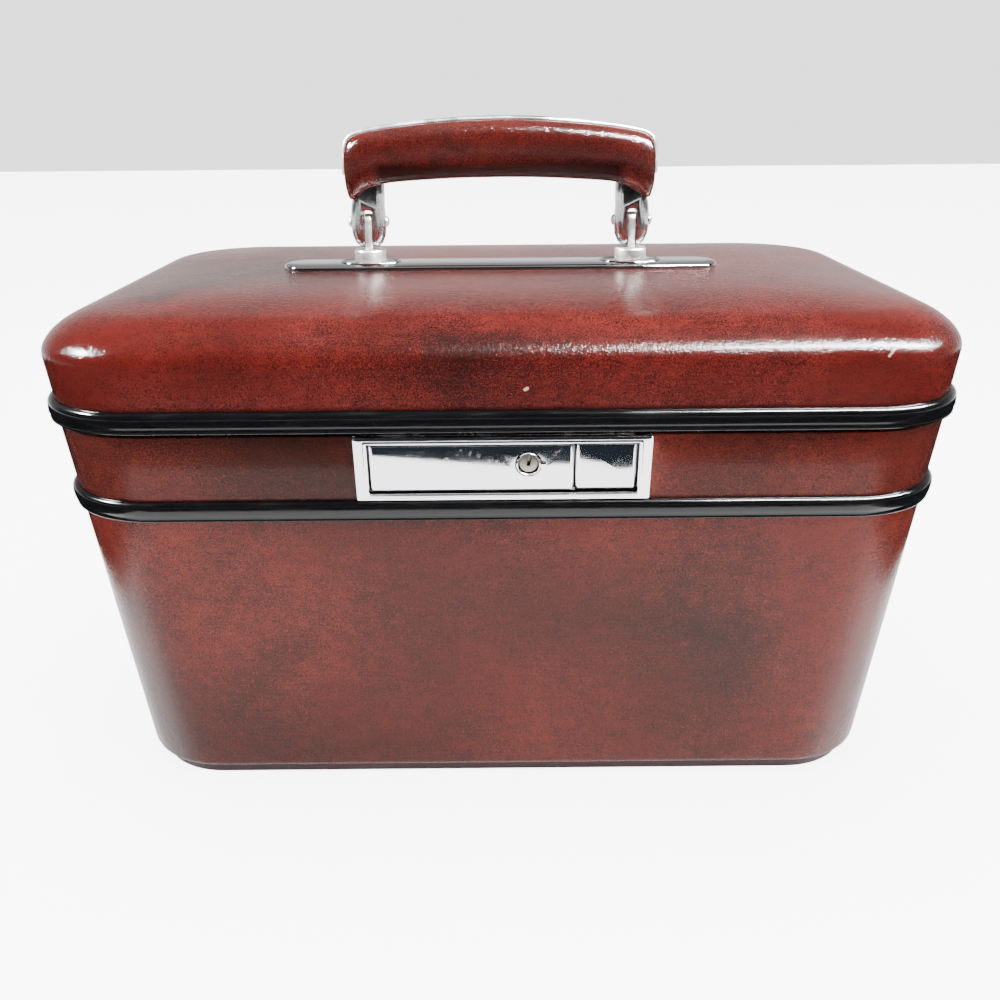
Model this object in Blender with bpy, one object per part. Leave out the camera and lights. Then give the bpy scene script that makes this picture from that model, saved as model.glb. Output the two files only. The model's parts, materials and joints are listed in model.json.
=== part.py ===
"""Vintage makeup train case: tapered body, domed lid, carry handle, draw latch and lift-out tray.

Metres, +Z up. The origin is the centre of the rest face of the foot plate. +X is the case's right as
seen from the lock side, and the lock side faces -Y.
"""
import math

import bmesh
import bpy
from mathutils import Matrix, Vector

# ---------------------------------------------------------------- driving dimensions
GAP = 0.0003                  # clearance between pieces that touch
CORNER_STEPS = 7              # segments in each rounded corner of the case's plan

FOOT_TOP = 0.0045             # top of the foot plate, where the taper starts
RIM_Z = 0.164                 # height at which the rim's plan is given
BASE_HALF_X = 0.157
BASE_HALF_Y = 0.0902
BASE_RADIUS = 0.036
RIM_HALF_X = 0.170
RIM_HALF_Y = 0.110
RIM_RADIUS = 0.0385
FOOT_IN = 0.0042              # how far the foot plate is set in from the base's plan

WALL = 0.003                  # thickness of both shells
LINING = 0.0012               # thickness of both linings
BODY_EDGE = 0.0035            # rounding of the body's bottom edge
SHELL_TOP = 0.1583            # top edge of the body shell
PARTING_Z = 0.1597            # top of the body's rim frame
LID_BOTTOM = 0.1600           # underside of the lid's rim frame
FLANGE = 0.0008               # thickness of the lid frame's flange
LEG_TOP = 0.1695              # top of the lid frame's upright leg

BULGE_Z = 0.1838              # height of the lid's widest section
BULGE_OUT = 0.0018            # how far the lid's wall leans out from the rim there
SHOULDER_IN = 0.019           # reach of the lid's rounded shoulder, measured across
SHOULDER_UP = 0.0115
CROWN_IN = 0.075              # inset at which the lid's crown has become flat
CROWN_UP = 0.0057
CROWN_POWER = 2.5
LID_TOP = BULGE_Z + SHOULDER_UP + CROWN_UP
LID_CORNER_KEEP = 0.38        # share of a lid ring's inset taken off its plan radius

BAND_OUT = 0.0026             # how far both bands stand out
BAND_SOFT = 0.0012            # rounding of a band's edges
UPPER_BAND = (0.1600, 0.1680)
LOWER_BAND = (0.1248, 0.1328)

TONGUE_IN = 0.0047            # offset of the closing tongue from the outer wall
TONGUE_WALL = 0.0010
TONGUE_TOP = 0.1627

HINGE_Y = RIM_HALF_Y + 0.007  # lid hinge axis
HINGE_X = 0.095               # centre of each hinge
HINGE_HALF = 0.018
KNUCKLE_HALF = 0.006          # half length of the lid leaf's knuckle
LEAF = 0.0010
CURL_R = 0.0018               # centreline radius of a rolled knuckle
HINGE_PIN_R = 0.0011
RIVET_R = 0.0012
RIVET_HEAD_R = 0.0022
RIVET_X = 0.012               # rivets stand this far from the middle of their hinge
BODY_LEAF_Z = (0.1375, 0.1535)  # flat of the body's leaf
BODY_BEND_Z = 0.1575          # bend from the flat to the knuckle
BODY_RIVET_Z = 0.1455
LID_LEAF_Z = (0.1725, 0.1830)
LID_BEND_Z = 0.1692
LID_RIVET_Z = 0.1780

LOCK_Z = 0.1461               # centre of the lock on the front wall
BEZEL_HALF = (0.0533, 0.0128)
WINDOW_HALF = (0.0486, 0.0102)
BEZEL_CHAMFER = 0.0006
BEZEL_PROUD = 0.0022
BEZEL_LIP = 0.0012            # thickness of the bezel's end flange over the button
PAN_HALF = (0.0526, 0.0109)
PAN_WALL = 0.0008
PAN_DEPTH = 0.0065
PAN_SLOT_Y = 0.0022           # front of the striker's slot in the pan's top
COVER_HALF_X = 0.0583
COVER_Z = (-0.0145, 0.0104)
COVER_THICK = 0.0010
HASP_X = (-0.0482, 0.0256)
HASP_HALF_Z = 0.0098
HASP_AXIS = (-0.0007, -0.0090)  # depth and height of the hasp's pin in the lock's frame
HASP_THICK = 0.0016
HASP_PIN_R = 0.00045
HOOK_X = (-0.0150, -0.0090)
HOOK_Z = (0.0130, 0.0160)
HOOK_REACH = 0.0030
KEY_AT = (0.0092, 0.0014)
KEY_R = 0.0034
KEY_RING_R = 0.0044
BUTTON_X = (0.0262, 0.0482)
BUTTON_Y = (-0.0008, 0.0006)
BUTTON_CHAMFER = 0.0004
STRIKER_X = (-0.0180, -0.0060)
STRIKER_IN = 0.0051           # the striker blade's front face, in from the rim's plan
STRIKER_THICK = 0.0010
STRIKER_Z = (0.1500, 0.1612, 0.1690)  # blade's low end, shoulder and top
STRIKER_CLEAR = 0.0007

HANDLE_X = 0.0566             # distance of each handle post from the centre
HANDLE_PIN_Z = 0.2205
PLATE_HALF = (0.0945, 0.0105)
PLATE_THICK = 0.0022
POST_R = 0.0068
POST_TOP = 0.2080
TAB_HALF = (0.0015, 0.0033)
TAB_TOP_R = 0.0034
STEM_R = 0.0025
STEM_LOW = 0.1950
NUT_R = 0.0048
HANDLE_PIN_R = 0.0016
PIN_HEAD_R = 0.0025
PIN_HEAD = 0.0012             # height of a handle pin's domed head
FORK_HALF_X = 0.0077
FORK_SLOT_HALF = 0.00195
FORK_SLOT_TOP = 0.2262
FORK_LOW = 0.2097
FORK_HALF_Y = 0.004
GRIP_HALF_Y = 0.0115
STRIP_HALF_Y = 0.004
STRIP_THICK = 0.0012

TRAY_HALF = (0.157, 0.0935)
TRAY_Z = (0.1178, 0.1540)
TRAY_WALL = 0.002
TRAY_FLOOR = 0.0018
TRAY_RADIUS = 0.032
TRAY_SPLIT_Y = -0.020         # wall between the front and the back compartments
DIVIDER_DROP = 0.006          # how far the long divider's top is below the tray's rim
FINGER_HALF = 0.012
FINGER_DEEP = 0.009
LEDGE_HALF_Y = 0.060
LEDGE_Z = (0.1130, 0.1175)
LEDGE_X = (0.1510, 0.1610)

LINING_TOP_Z = 0.1935         # underside of the lid lining's ceiling
LINING_LOW_Z = 0.1702         # lower edge of the lid lining
LINING_OFF = 0.0016           # space between the lid's wall and its lining
MIRROR_HALF = (0.092, 0.056)
MIRROR_RADIUS = 0.012
MIRROR_Z = (0.1897, 0.1922)
MIRROR_RIM = 0.004
MIRROR_LAP = 0.002            # how far the frame laps over the glass
MIRROR_FRONT_Z = 0.1885

TAPER = math.atan((RIM_HALF_Y - BASE_HALF_Y) / (RIM_Z - FOOT_TOP))
LEAN = math.atan(BULGE_OUT / (BULGE_Z - UPPER_BAND[1]))


# ---------------------------------------------------------------- materials
def make_material(name, colour, roughness, metallic):
    material = bpy.data.materials.new(name)
    material.use_nodes = True
    shader = material.node_tree.nodes["Principled BSDF"]
    shader.inputs["Base Color"].default_value = (*colour, 1.0)
    shader.inputs["Roughness"].default_value = roughness
    shader.inputs["Metallic"].default_value = metallic
    return material


def make_materials():
    return {
        "vinyl": make_material("oxblood_vinyl", (0.20, 0.035, 0.026), 0.28, 0.0),
        "trim": make_material("black_trim", (0.012, 0.012, 0.013), 0.18, 0.0),
        "chrome": make_material("chrome", (0.78, 0.78, 0.79), 0.08, 1.0),
        "steel": make_material("steel", (0.55, 0.55, 0.56), 0.32, 1.0),
        "lining": make_material("lining", (0.62, 0.50, 0.42), 0.85, 0.0),
        "foot": make_material("foot_board", (0.055, 0.012, 0.014), 0.55, 0.0),
        "mirror": make_material("mirror", (0.85, 0.87, 0.88), 0.02, 1.0),
        "tray": make_material("tray_plastic", (0.72, 0.66, 0.58), 0.42, 0.0),
    }


# ---------------------------------------------------------------- plan of the case
def rounded_rect(half_x, half_y, radius, steps=CORNER_STEPS):
    """Points of a rounded rectangle, counter-clockwise from the corner at +X, +Y."""
    points = []
    for corner, (sx, sy) in enumerate(((1, 1), (-1, 1), (-1, -1), (1, -1))):
        for step in range(steps + 1):
            angle = math.radians(90 * corner + 90 * step / steps)
            x = sx * (half_x - radius) + radius * math.cos(angle)
            y = sy * (half_y - radius) + radius * math.sin(angle)
            points.append((x, y))
    return points


def rise(z):
    return (z - FOOT_TOP) / (RIM_Z - FOOT_TOP)


def wall_y(z):
    """Distance of the body's outer front or back face from the centre at height z."""
    return BASE_HALF_Y + (RIM_HALF_Y - BASE_HALF_Y) * rise(z)


def body_ring(z, offset=0.0):
    """Plan of the tapered body at height z, moved out by offset."""
    half_x = BASE_HALF_X + (RIM_HALF_X - BASE_HALF_X) * rise(z)
    radius = BASE_RADIUS + (RIM_RADIUS - BASE_RADIUS) * rise(z)
    plan = rounded_rect(half_x + offset, wall_y(z) + offset, radius + offset)
    return [(x, y, z) for x, y in plan]


def rim_ring(z, offset=0.0):
    """Plan of the rim, without taper, moved out by offset."""
    plan = rounded_rect(RIM_HALF_X + offset, RIM_HALF_Y + offset, RIM_RADIUS + offset)
    return [(x, y, z) for x, y in plan]


def dome_ring(z, inset):
    """Plan of the lid above its widest section, inset from it."""
    half_x = RIM_HALF_X + BULGE_OUT - inset
    half_y = RIM_HALF_Y + BULGE_OUT - inset
    plan = rounded_rect(half_x, half_y, RIM_RADIUS + BULGE_OUT - LID_CORNER_KEEP * inset)
    return [(x, y, z) for x, y in plan]


def lid_wall_y(z):
    """Distance of the lid's leaning wall from the centre at height z."""
    return RIM_HALF_Y + (z - UPPER_BAND[1]) * math.tan(LEAN)


def crown(inset):
    """Height that the lid's crown adds at an inset from the widest section."""
    return CROWN_UP * (1 - (1 - min(inset / CROWN_IN, 1.0)) ** CROWN_POWER)


def dome_rings(depth, ceiling, steps=5):
    """Rings up the shoulder and over the crown, a depth inside the lid's outer face."""
    rings = []
    for step in range(steps + 1):
        angle = math.radians(90 * step / steps)
        inset = depth + (SHOULDER_IN - depth) * (1 - math.cos(angle))
        z = BULGE_Z + (SHOULDER_UP - depth) * math.sin(angle) + crown(inset)
        rings.append(dome_ring(z, inset))
    for inset in (0.033, 0.052, CROWN_IN):
        rings.append(dome_ring(min(LID_TOP - CROWN_UP - depth + crown(inset), ceiling), inset))
    return rings


# ---------------------------------------------------------------- mesh helpers
def add_object(name, bm, material, location=(0, 0, 0), tilt=0.0, parent=None):
    bmesh.ops.recalc_face_normals(bm, faces=bm.faces)
    mesh = bpy.data.meshes.new(name)
    bm.to_mesh(mesh)
    bm.free()
    mesh.shade_smooth()
    mesh.set_sharp_from_angle(angle=math.radians(35))
    obj = bpy.data.objects.new(name, mesh)
    bpy.context.scene.collection.objects.link(obj)
    obj.location = location
    obj.rotation_euler = (tilt, 0, 0)
    if material:
        mesh.materials.append(material)
    if parent:
        obj.parent = parent
        obj.matrix_parent_inverse = parent.matrix_basis.inverted()
    return obj


def loft(rings, closed=False):
    """Skin equal rings of points in order: ends capped, or the last ring joined to the first."""
    bm = bmesh.new()
    loops = [[bm.verts.new(point) for point in ring] for ring in rings]
    count = len(rings[0])
    pairs = list(zip(loops, loops[1:]))
    if closed:
        pairs.append((loops[-1], loops[0]))
    for low, high in pairs:
        for i in range(count):
            j = (i + 1) % count
            bm.faces.new((low[i], low[j], high[j], high[i]))
    if not closed:
        bm.faces.new(loops[0][::-1])
        bm.faces.new(loops[-1])
    return bm


def prism(outline, low, high, axis="X"):
    """Extrude a flat outline along an axis: (y, z) points for X, (x, z) for Y, (x, y) for Z."""
    place = {
        "X": lambda p, h: (h, p[0], p[1]),
        "Y": lambda p, h: (p[0], h, p[1]),
        "Z": lambda p, h: (p[0], p[1], h),
    }[axis]
    return loft([[place(p, low) for p in outline], [place(p, high) for p in outline]])


def box(x, y, z):
    return prism([(x[0], y[0]), (x[1], y[0]), (x[1], y[1]), (x[0], y[1])], z[0], z[1], "Z")


def circle(radius, steps, centre=(0.0, 0.0), start=0.0):
    turn = 2 * math.pi / steps
    return [(centre[0] + radius * math.cos(start + i * turn),
             centre[1] + radius * math.sin(start + i * turn)) for i in range(steps)]


def lathe(profile, steps, axis="Z"):
    """Turn (radius, height) points about an axis: discs stacked into one solid."""
    rings = []
    for radius, height in profile:
        ring = circle(radius, steps)
        if axis == "X":
            rings.append([(height, p, q) for p, q in ring])
        elif axis == "Y":
            rings.append([(q, height, p) for p, q in ring])
        else:
            rings.append([(p, q, height) for p, q in ring])
    return loft(rings)


def strip_outline(path, thickness):
    """Outline of a sheet strip of even thickness along a path of (y, z) points."""
    left = []
    right = []
    for i, point in enumerate(path):
        before = Vector(path[max(i - 1, 0)])
        after = Vector(path[min(i + 1, len(path) - 1)])
        along = (after - before).normalized()
        side = Vector((-along.y, along.x)) * thickness / 2
        left.append(tuple(Vector(point) + side))
        right.append(tuple(Vector(point) - side))
    return left + right[::-1]


def boolean(target, cutter, operation="DIFFERENCE"):
    cutter.hide_render = True
    cutter.display_type = "WIRE"
    modifier = target.modifiers.new(operation.lower(), "BOOLEAN")
    modifier.operation = operation
    modifier.object = cutter
    modifier.solver = "EXACT"


def add_cutter(name, bm, location=(0, 0, 0), tilt=0.0, parent=None):
    return add_object(name, bm, None, location, tilt, parent)


def add_empty(name, location, tilt=0.0, parent=None):
    empty = bpy.data.objects.new(name, None)
    bpy.context.scene.collection.objects.link(empty)
    empty.location = location
    empty.rotation_euler = (tilt, 0, 0)
    empty.empty_display_size = 0.02
    if parent:
        empty.parent = parent
        empty.matrix_parent_inverse = parent.matrix_basis.inverted()
    bpy.context.view_layer.update()
    return empty


# ---------------------------------------------------------------- case body
def arc_rings(ring, offset, z_low, radius, steps=3):
    """Body rings that round the bottom edge upward from z_low."""
    rings = []
    for step in range(steps + 1):
        angle = math.radians(90 * step / steps)
        inset = radius * (1 - math.sin(angle))
        rings.append(ring(z_low + radius * (1 - math.cos(angle)), offset - inset))
    return rings


def tub(z_low, z_top, outer, thickness, radius):
    """Open tapered tub: outer skin going up, then inner skin going down to the floor."""
    outside = arc_rings(body_ring, -outer, z_low, radius)
    outside.append(body_ring(z_top, -outer))
    inner_radius = max(radius - thickness, 0.002)
    inside = arc_rings(body_ring, -outer - thickness, z_low + thickness, inner_radius)
    inside.append(body_ring(z_top, -outer - thickness))
    return loft(outside + inside[::-1])


def band(name, ring, span, material, parent=None):
    """Rounded trim band standing out from the wall by BAND_OUT."""
    low, high = span
    shallow = BAND_SOFT * 0.3
    section = [(GAP, low), (BAND_OUT - BAND_SOFT, low), (BAND_OUT - shallow, low + shallow),
               (BAND_OUT, low + BAND_SOFT), (BAND_OUT, high - BAND_SOFT),
               (BAND_OUT - shallow, high - shallow), (BAND_OUT - BAND_SOFT, high), (GAP, high)]
    rings = [ring(z, offset) for offset, z in section]
    return add_object(name, loft(rings, closed=True), material, parent=parent)


def build_body(mats):
    foot = rounded_rect(BASE_HALF_X - FOOT_IN, BASE_HALF_Y - FOOT_IN, BASE_RADIUS - FOOT_IN)
    add_object("foot_plate", prism(foot, 0.0, FOOT_TOP, "Z"), mats["foot"])
    shell_low = FOOT_TOP + GAP
    shell = add_object("body_shell", tub(shell_low, SHELL_TOP, 0.0, WALL, BODY_EDGE), mats["vinyl"])
    lining_low = shell_low + WALL + GAP
    lining = add_object("body_lining", tub(lining_low, SHELL_TOP - GAP, WALL + GAP, LINING, BODY_EDGE / 2),
                        mats["lining"])
    band("lower_band", body_ring, LOWER_BAND, mats["trim"])
    tongue_out = -TONGUE_IN
    tongue_in = -TONGUE_IN - TONGUE_WALL
    section = [(-GAP, SHELL_TOP + GAP), (-GAP, PARTING_Z), (tongue_out, PARTING_Z),
               (tongue_out, TONGUE_TOP), (tongue_in, TONGUE_TOP), (tongue_in, SHELL_TOP + GAP)]
    rings = [[(x, y, z) for x, y, _ in body_ring(PARTING_Z, offset)] for offset, z in section]
    frame = add_object("body_frame", loft(rings, closed=True), mats["steel"])
    for side, sign in (("left", -1), ("right", 1)):
        span = sorted(sign * x for x in LEDGE_X)
        ledge = box(span, (-LEDGE_HALF_Y, LEDGE_HALF_Y), LEDGE_Z)
        add_object(f"tray_ledge_{side}", ledge, mats["lining"])
    return shell, lining, frame


# ---------------------------------------------------------------- lid
def lid_shell_mesh():
    low = LID_BOTTOM + FLANGE + GAP
    outside = [rim_ring(low), rim_ring(UPPER_BAND[1])] + dome_rings(0.0, LID_TOP)
    inside = [rim_ring(low, -WALL), rim_ring(UPPER_BAND[1], -WALL)] + dome_rings(WALL, LID_TOP - WALL)
    return loft(outside[::-1] + inside)


def lid_lining_mesh():
    """Open pan with rounded shoulders that follows the inside of the lid to a flat ceiling."""
    outer_depth = WALL + LINING_OFF
    inner_depth = outer_depth + LINING
    outer = [rim_ring(LINING_LOW_Z, -outer_depth)] + dome_rings(outer_depth, LINING_TOP_Z + LINING)
    inner = [rim_ring(LINING_LOW_Z, -inner_depth)] + dome_rings(inner_depth, LINING_TOP_Z)
    return loft(outer[::-1] + inner)


def build_lid(mats, hinge):
    shell = add_object("lid_shell", lid_shell_mesh(), mats["vinyl"], parent=hinge)
    band("upper_band", rim_ring, UPPER_BAND, mats["trim"], parent=hinge)
    flange_top = LID_BOTTOM + FLANGE
    leg_out = -WALL - GAP
    leg_in = leg_out - TONGUE_WALL
    section = [(-GAP, LID_BOTTOM), (-GAP, flange_top), (leg_out, flange_top),
               (leg_out, LEG_TOP), (leg_in, LEG_TOP), (leg_in, LID_BOTTOM)]
    rings = [rim_ring(z, offset) for offset, z in section]
    add_object("lid_frame", loft(rings, closed=True), mats["steel"], parent=hinge)
    add_object("lid_lining", lid_lining_mesh(), mats["lining"], parent=hinge)
    build_mirror(mats, hinge)
    build_striker(mats, hinge, -RIM_HALF_Y - leg_in + GAP)
    return shell


def build_mirror(mats, hinge):
    """Mirror on the lid's ceiling, held by a frame that laps over its edge."""
    steps = 4
    glass = rounded_rect(*MIRROR_HALF, MIRROR_RADIUS, steps)
    add_object("mirror", prism(glass, *MIRROR_Z, "Z"), mats["mirror"], parent=hinge)
    ceiling = LINING_TOP_Z - GAP
    seat_z = MIRROR_Z[0] - GAP
    section = [(MIRROR_RIM, ceiling), (MIRROR_RIM, MIRROR_FRONT_Z), (-MIRROR_LAP, MIRROR_FRONT_Z),
               (-MIRROR_LAP, seat_z), (GAP, seat_z), (GAP, ceiling)]
    rings = []
    for offset, z in section:
        plan = rounded_rect(MIRROR_HALF[0] + offset, MIRROR_HALF[1] + offset, MIRROR_RADIUS + offset, steps)
        rings.append([(x, y, z) for x, y in plan])
    add_object("mirror_frame", loft(rings, closed=True), mats["chrome"], parent=hinge)


def build_striker(mats, hinge, flange_y):
    """Blade that hangs from the lid frame into the lock, with a window for the latch hook."""
    x0, x1 = STRIKER_X
    front = STRIKER_IN - RIM_HALF_Y
    back = front + STRIKER_THICK
    low, shoulder, top = STRIKER_Z
    outline = [(flange_y, shoulder), (front, shoulder), (front, low), (back, low), (back, top),
               (flange_y, top)]
    striker = add_object("striker", prism(outline, x0, x1), mats["steel"], parent=hinge)
    window = box((x0 + 0.0025, x1 - 0.0025), (front - 0.001, back + 0.001), (low + 0.0015, low + 0.0060))
    boolean(striker, add_cutter("cut_striker_window", window, parent=hinge))


# ---------------------------------------------------------------- rear hinges
def curl(start, end, steps=9):
    """Arc of a rolled knuckle about the hinge axis, in degrees from +Y towards +Z."""
    points = []
    for step in range(steps + 1):
        angle = math.radians(start + (end - start) * step / steps)
        points.append((HINGE_Y + CURL_R * math.cos(angle), PARTING_Z + CURL_R * math.sin(angle)))
    return points


def body_leaf_path():
    sit = GAP + LEAF / 2
    flat = [(wall_y(z) + sit, z) for z in BODY_LEAF_Z]
    return flat, flat + [(HINGE_Y - CURL_R, BODY_BEND_Z)] + curl(180, -80)


def lid_leaf_path():
    sit = 2 * GAP + LEAF / 2
    flat = [(lid_wall_y(z) + sit, z) for z in LID_LEAF_Z[::-1]]
    return flat, flat + [(HINGE_Y - CURL_R, LID_BEND_Z)] + curl(180, 440)


def hinge_leaf(name, centre, flat, full, spans, material, parent):
    """Sheet leaf: a flat the whole width, with rolled knuckles over the given spans of X."""
    low, high = centre - HINGE_HALF, centre + HINGE_HALF
    leaf = add_object(name, prism(strip_outline(flat, LEAF), low, high), material, parent=parent)
    outline = strip_outline(full, LEAF)
    for index, (x0, x1) in enumerate(spans):
        knuckle = prism(outline, centre + x0, centre + x1)
        boolean(leaf, add_cutter(f"join_{name}_{index}", knuckle, parent=parent), "UNION")
    return leaf


def rivet_places(centre, z, out, tilt):
    """World matrices of the two rivets of a leaf: local +Y points out of the wall."""
    places = []
    for sign in (-1, 1):
        turn = Matrix.Rotation(tilt, 4, "X")
        places.append(Matrix.Translation((centre + sign * RIVET_X, out, z)) @ turn)
    return places


def rivet_mesh(shank_in):
    head = LEAF + 3 * GAP
    profile = [(RIVET_R, -shank_in), (RIVET_R, head), (RIVET_HEAD_R, head),
               (RIVET_HEAD_R, head + 0.0003), (RIVET_HEAD_R * 0.6, head + 0.0009)]
    return lathe(profile, 10, "Y")


def add_rivets(label, places, parent, targets, mats):
    """Rivets with clearance holes through the given pieces."""
    holes = bmesh.new()
    for number, place in enumerate(places, 1):
        mesh = rivet_mesh(WALL - 0.0002)
        bmesh.ops.transform(mesh, matrix=place, verts=mesh.verts)
        add_object(f"rivet_{label}_{number}", mesh, mats["steel"], parent=parent)
        hole = lathe([(RIVET_R + GAP, -0.02), (RIVET_R + GAP, 0.02)], 10, "Y")
        bmesh.ops.transform(hole, matrix=place, verts=hole.verts)
        part = bpy.data.meshes.new("hole")
        hole.to_mesh(part)
        hole.free()
        holes.from_mesh(part)
        bpy.data.meshes.remove(part)
    cutter = add_cutter(f"cut_rivets_{label}", holes, parent=parent)
    for target in targets:
        boolean(target, cutter)


def build_hinges(mats, body_shell, lid_shell, hinge):
    outer_span = KNUCKLE_HALF + GAP
    for side, centre in (("left", -HINGE_X), ("right", HINGE_X)):
        flat, full = body_leaf_path()
        body_spans = [(-HINGE_HALF, -outer_span), (outer_span, HINGE_HALF)]
        body_leaf = hinge_leaf(f"hinge_body_leaf_{side}", centre, flat, full, body_spans,
                               mats["chrome"], None)
        flat, full = lid_leaf_path()
        lid_leaf = hinge_leaf(f"hinge_lid_leaf_{side}", centre, flat, full,
                              [(-KNUCKLE_HALF, KNUCKLE_HALF)], mats["chrome"], hinge)
        pin = lathe([(HINGE_PIN_R, -HINGE_HALF - 0.001), (HINGE_PIN_R, HINGE_HALF + 0.001)], 12, "X")
        add_object(f"hinge_pin_{side}", pin, mats["steel"], (centre, HINGE_Y, PARTING_Z))
        places = rivet_places(centre, BODY_RIVET_Z, wall_y(BODY_RIVET_Z), -TAPER)
        add_rivets(f"body_{side}", places, None, (body_shell, body_leaf), mats)
        places = rivet_places(centre, LID_RIVET_Z, lid_wall_y(LID_RIVET_Z), -LEAN)
        add_rivets(f"lid_{side}", places, hinge, (lid_shell, lid_leaf), mats)


# ---------------------------------------------------------------- lock
def chamfered_plate(x, z, front, back, chamfer):
    """Plate in the lock's frame whose front edges are bevelled."""
    def ring(inset, depth):
        return [(x[0] + inset, depth, z[0] + inset), (x[1] - inset, depth, z[0] + inset),
                (x[1] - inset, depth, z[1] - inset), (x[0] + inset, depth, z[1] - inset)]
    return loft([ring(0, back), ring(0, front + chamfer), ring(chamfer, front)])


def build_lock(mats, body_shell, body_lining, body_frame):
    """Lock pieces, in a frame on the front wall: x across, y into the case, z up the slope."""
    place = dict(location=(0, -wall_y(LOCK_Z), LOCK_Z), tilt=TAPER)
    bezel_x, bezel_z = BEZEL_HALF
    window_x, window_z = WINDOW_HALF
    pan_x, pan_z = PAN_HALF

    plate = chamfered_plate((-bezel_x, bezel_x), (-bezel_z, bezel_z), -BEZEL_PROUD, -GAP, BEZEL_CHAMFER)
    bezel = add_object("lock_bezel", plate, mats["chrome"], **place)
    window = box((-window_x, window_x), (-0.01, 0.01), (-window_z, window_z))
    boolean(bezel, add_cutter("cut_bezel_window", window, **place))
    pocket = box((window_x - 0.001, pan_x - PAN_WALL), (BEZEL_LIP - BEZEL_PROUD, 0.01),
                 (-window_z, window_z))
    boolean(bezel, add_cutter("cut_bezel_pocket", pocket, **place))

    pan = add_object("lock_pan", box((-pan_x, pan_x), (0.0, PAN_DEPTH), (-pan_z, pan_z)),
                     mats["steel"], **place)
    hollow = box((PAN_WALL - pan_x, pan_x - PAN_WALL), (-0.01, PAN_DEPTH - PAN_WALL),
                 (PAN_WALL - pan_z, pan_z - PAN_WALL))
    boolean(pan, add_cutter("cut_pan_hollow", hollow, **place))
    slot_x = (STRIKER_X[0] - STRIKER_CLEAR, STRIKER_X[1] + STRIKER_CLEAR)
    slot = box(slot_x, (PAN_SLOT_Y, PAN_DEPTH - PAN_WALL), (pan_z - 0.003, pan_z + 0.003))
    boolean(pan, add_cutter("cut_pan_slot", slot, **place))
    notch = box(slot_x, (STRIKER_IN - 0.002 - RIM_HALF_Y, STRIKER_IN + 0.006 - RIM_HALF_Y), (0.1560, 0.1700))
    boolean(body_frame, add_cutter("cut_frame_notch", notch))

    clear = 2 * GAP
    hole = box((-pan_x - GAP, pan_x + GAP), (-0.01, 0.0032), (-pan_z - GAP, pan_z + GAP))
    boolean(body_shell, add_cutter("cut_shell_lock", hole, **place))
    hole = box((-pan_x - clear, pan_x + clear), (0.001, 0.0068), (-pan_z - clear, pan_z + 0.01))
    boolean(body_lining, add_cutter("cut_lining_lock", hole, **place))
    cover = box((-COVER_HALF_X, COVER_HALF_X), (PAN_DEPTH + GAP, PAN_DEPTH + GAP + COVER_THICK), COVER_Z)
    add_object("lock_back_cover", cover, mats["steel"], **place)

    build_hasp(mats, place)
    button = chamfered_plate(BUTTON_X, (-HASP_HALF_Z, HASP_HALF_Z), *BUTTON_Y, BUTTON_CHAMFER)
    add_object("release_button", button, mats["chrome"], **place)


def build_hasp(mats, place):
    """Long latch plate hinged on its lower edge, with its hook, pin, key ring and key plug."""
    axis_y, axis_z = HASP_AXIS
    slope = Matrix.Rotation(TAPER, 4, "X")
    centre = Vector(place["location"]) + slope @ Vector((0, axis_y, axis_z))
    pivot = add_empty("hasp_axis", centre, TAPER)
    here = dict(location=centre, tilt=TAPER, parent=pivot)
    half = HASP_THICK / 2
    top = HASP_HALF_Z - axis_z
    lower = [(half * math.cos(math.radians(a)), half * math.sin(math.radians(a)))
             for a in (0, -45, -90, -135, 180)]
    outline = lower + [(-half, top - 0.0004), (0.0004 - half, top), (half, top)]
    hasp = add_object("hasp_plate", prism(outline, *HASP_X), mats["chrome"], **here)
    low, high = HOOK_Z
    hook = prism([(0.0, low), (HOOK_REACH, low + 0.0008), (HOOK_REACH, high - 0.0008), (0.0, high)], *HOOK_X)
    boolean(hasp, add_cutter("join_hasp_hook", hook, **here), "UNION")
    bore_r = HASP_PIN_R + 0.0001
    bore = lathe([(bore_r, HASP_X[0] - 0.001), (bore_r, HASP_X[1] + 0.001)], 8, "X")
    boolean(hasp, add_cutter("cut_hasp_bore", bore, **here))
    pin = lathe([(HASP_PIN_R, HASP_X[0] - GAP), (HASP_PIN_R, HASP_X[1] + GAP)], 8, "X")
    add_object("hasp_pin", pin, mats["steel"], **here)

    key_x, key_z = KEY_AT
    key_centre = centre + slope @ Vector((key_x, 0, key_z - axis_z))
    key_here = dict(location=key_centre, tilt=TAPER, parent=pivot)
    hole = lathe([(KEY_R + 0.0007, -0.01), (KEY_R + 0.0007, 0.01)], 20, "Y")
    boolean(hasp, add_cutter("cut_hasp_key", hole, **key_here))
    front = -half
    bore_r = KEY_R + 0.0002
    ring_profile = [(bore_r, front - 0.0006), (KEY_RING_R - 0.0003, front - 0.0006),
                    (KEY_RING_R, front - GAP), (KEY_R + 0.0005, front - GAP), (KEY_R + 0.0005, half),
                    (bore_r, half)]
    rings = [[(q, depth, p) for p, q in circle(radius, 20)] for radius, depth in ring_profile]
    add_object("key_ring", loft(rings, closed=True), mats["chrome"], **key_here)
    plug_profile = [(KEY_R, front - 0.0004), (KEY_R, half + 0.0010)]
    plug = add_object("key_plug", lathe(plug_profile, 20, "Y"), mats["chrome"], **key_here)
    cam = box((-0.0020, 0.0020), (half + 0.0008, half + 0.0018), (-0.0055, 0.0025))
    boolean(plug, add_cutter("join_plug_cam", cam, **key_here), "UNION")
    keyway = box((-0.0005, 0.0005), (-0.01, 0.0004), (-0.0022, 0.0022))
    boolean(plug, add_cutter("cut_keyway", keyway, **key_here))


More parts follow.
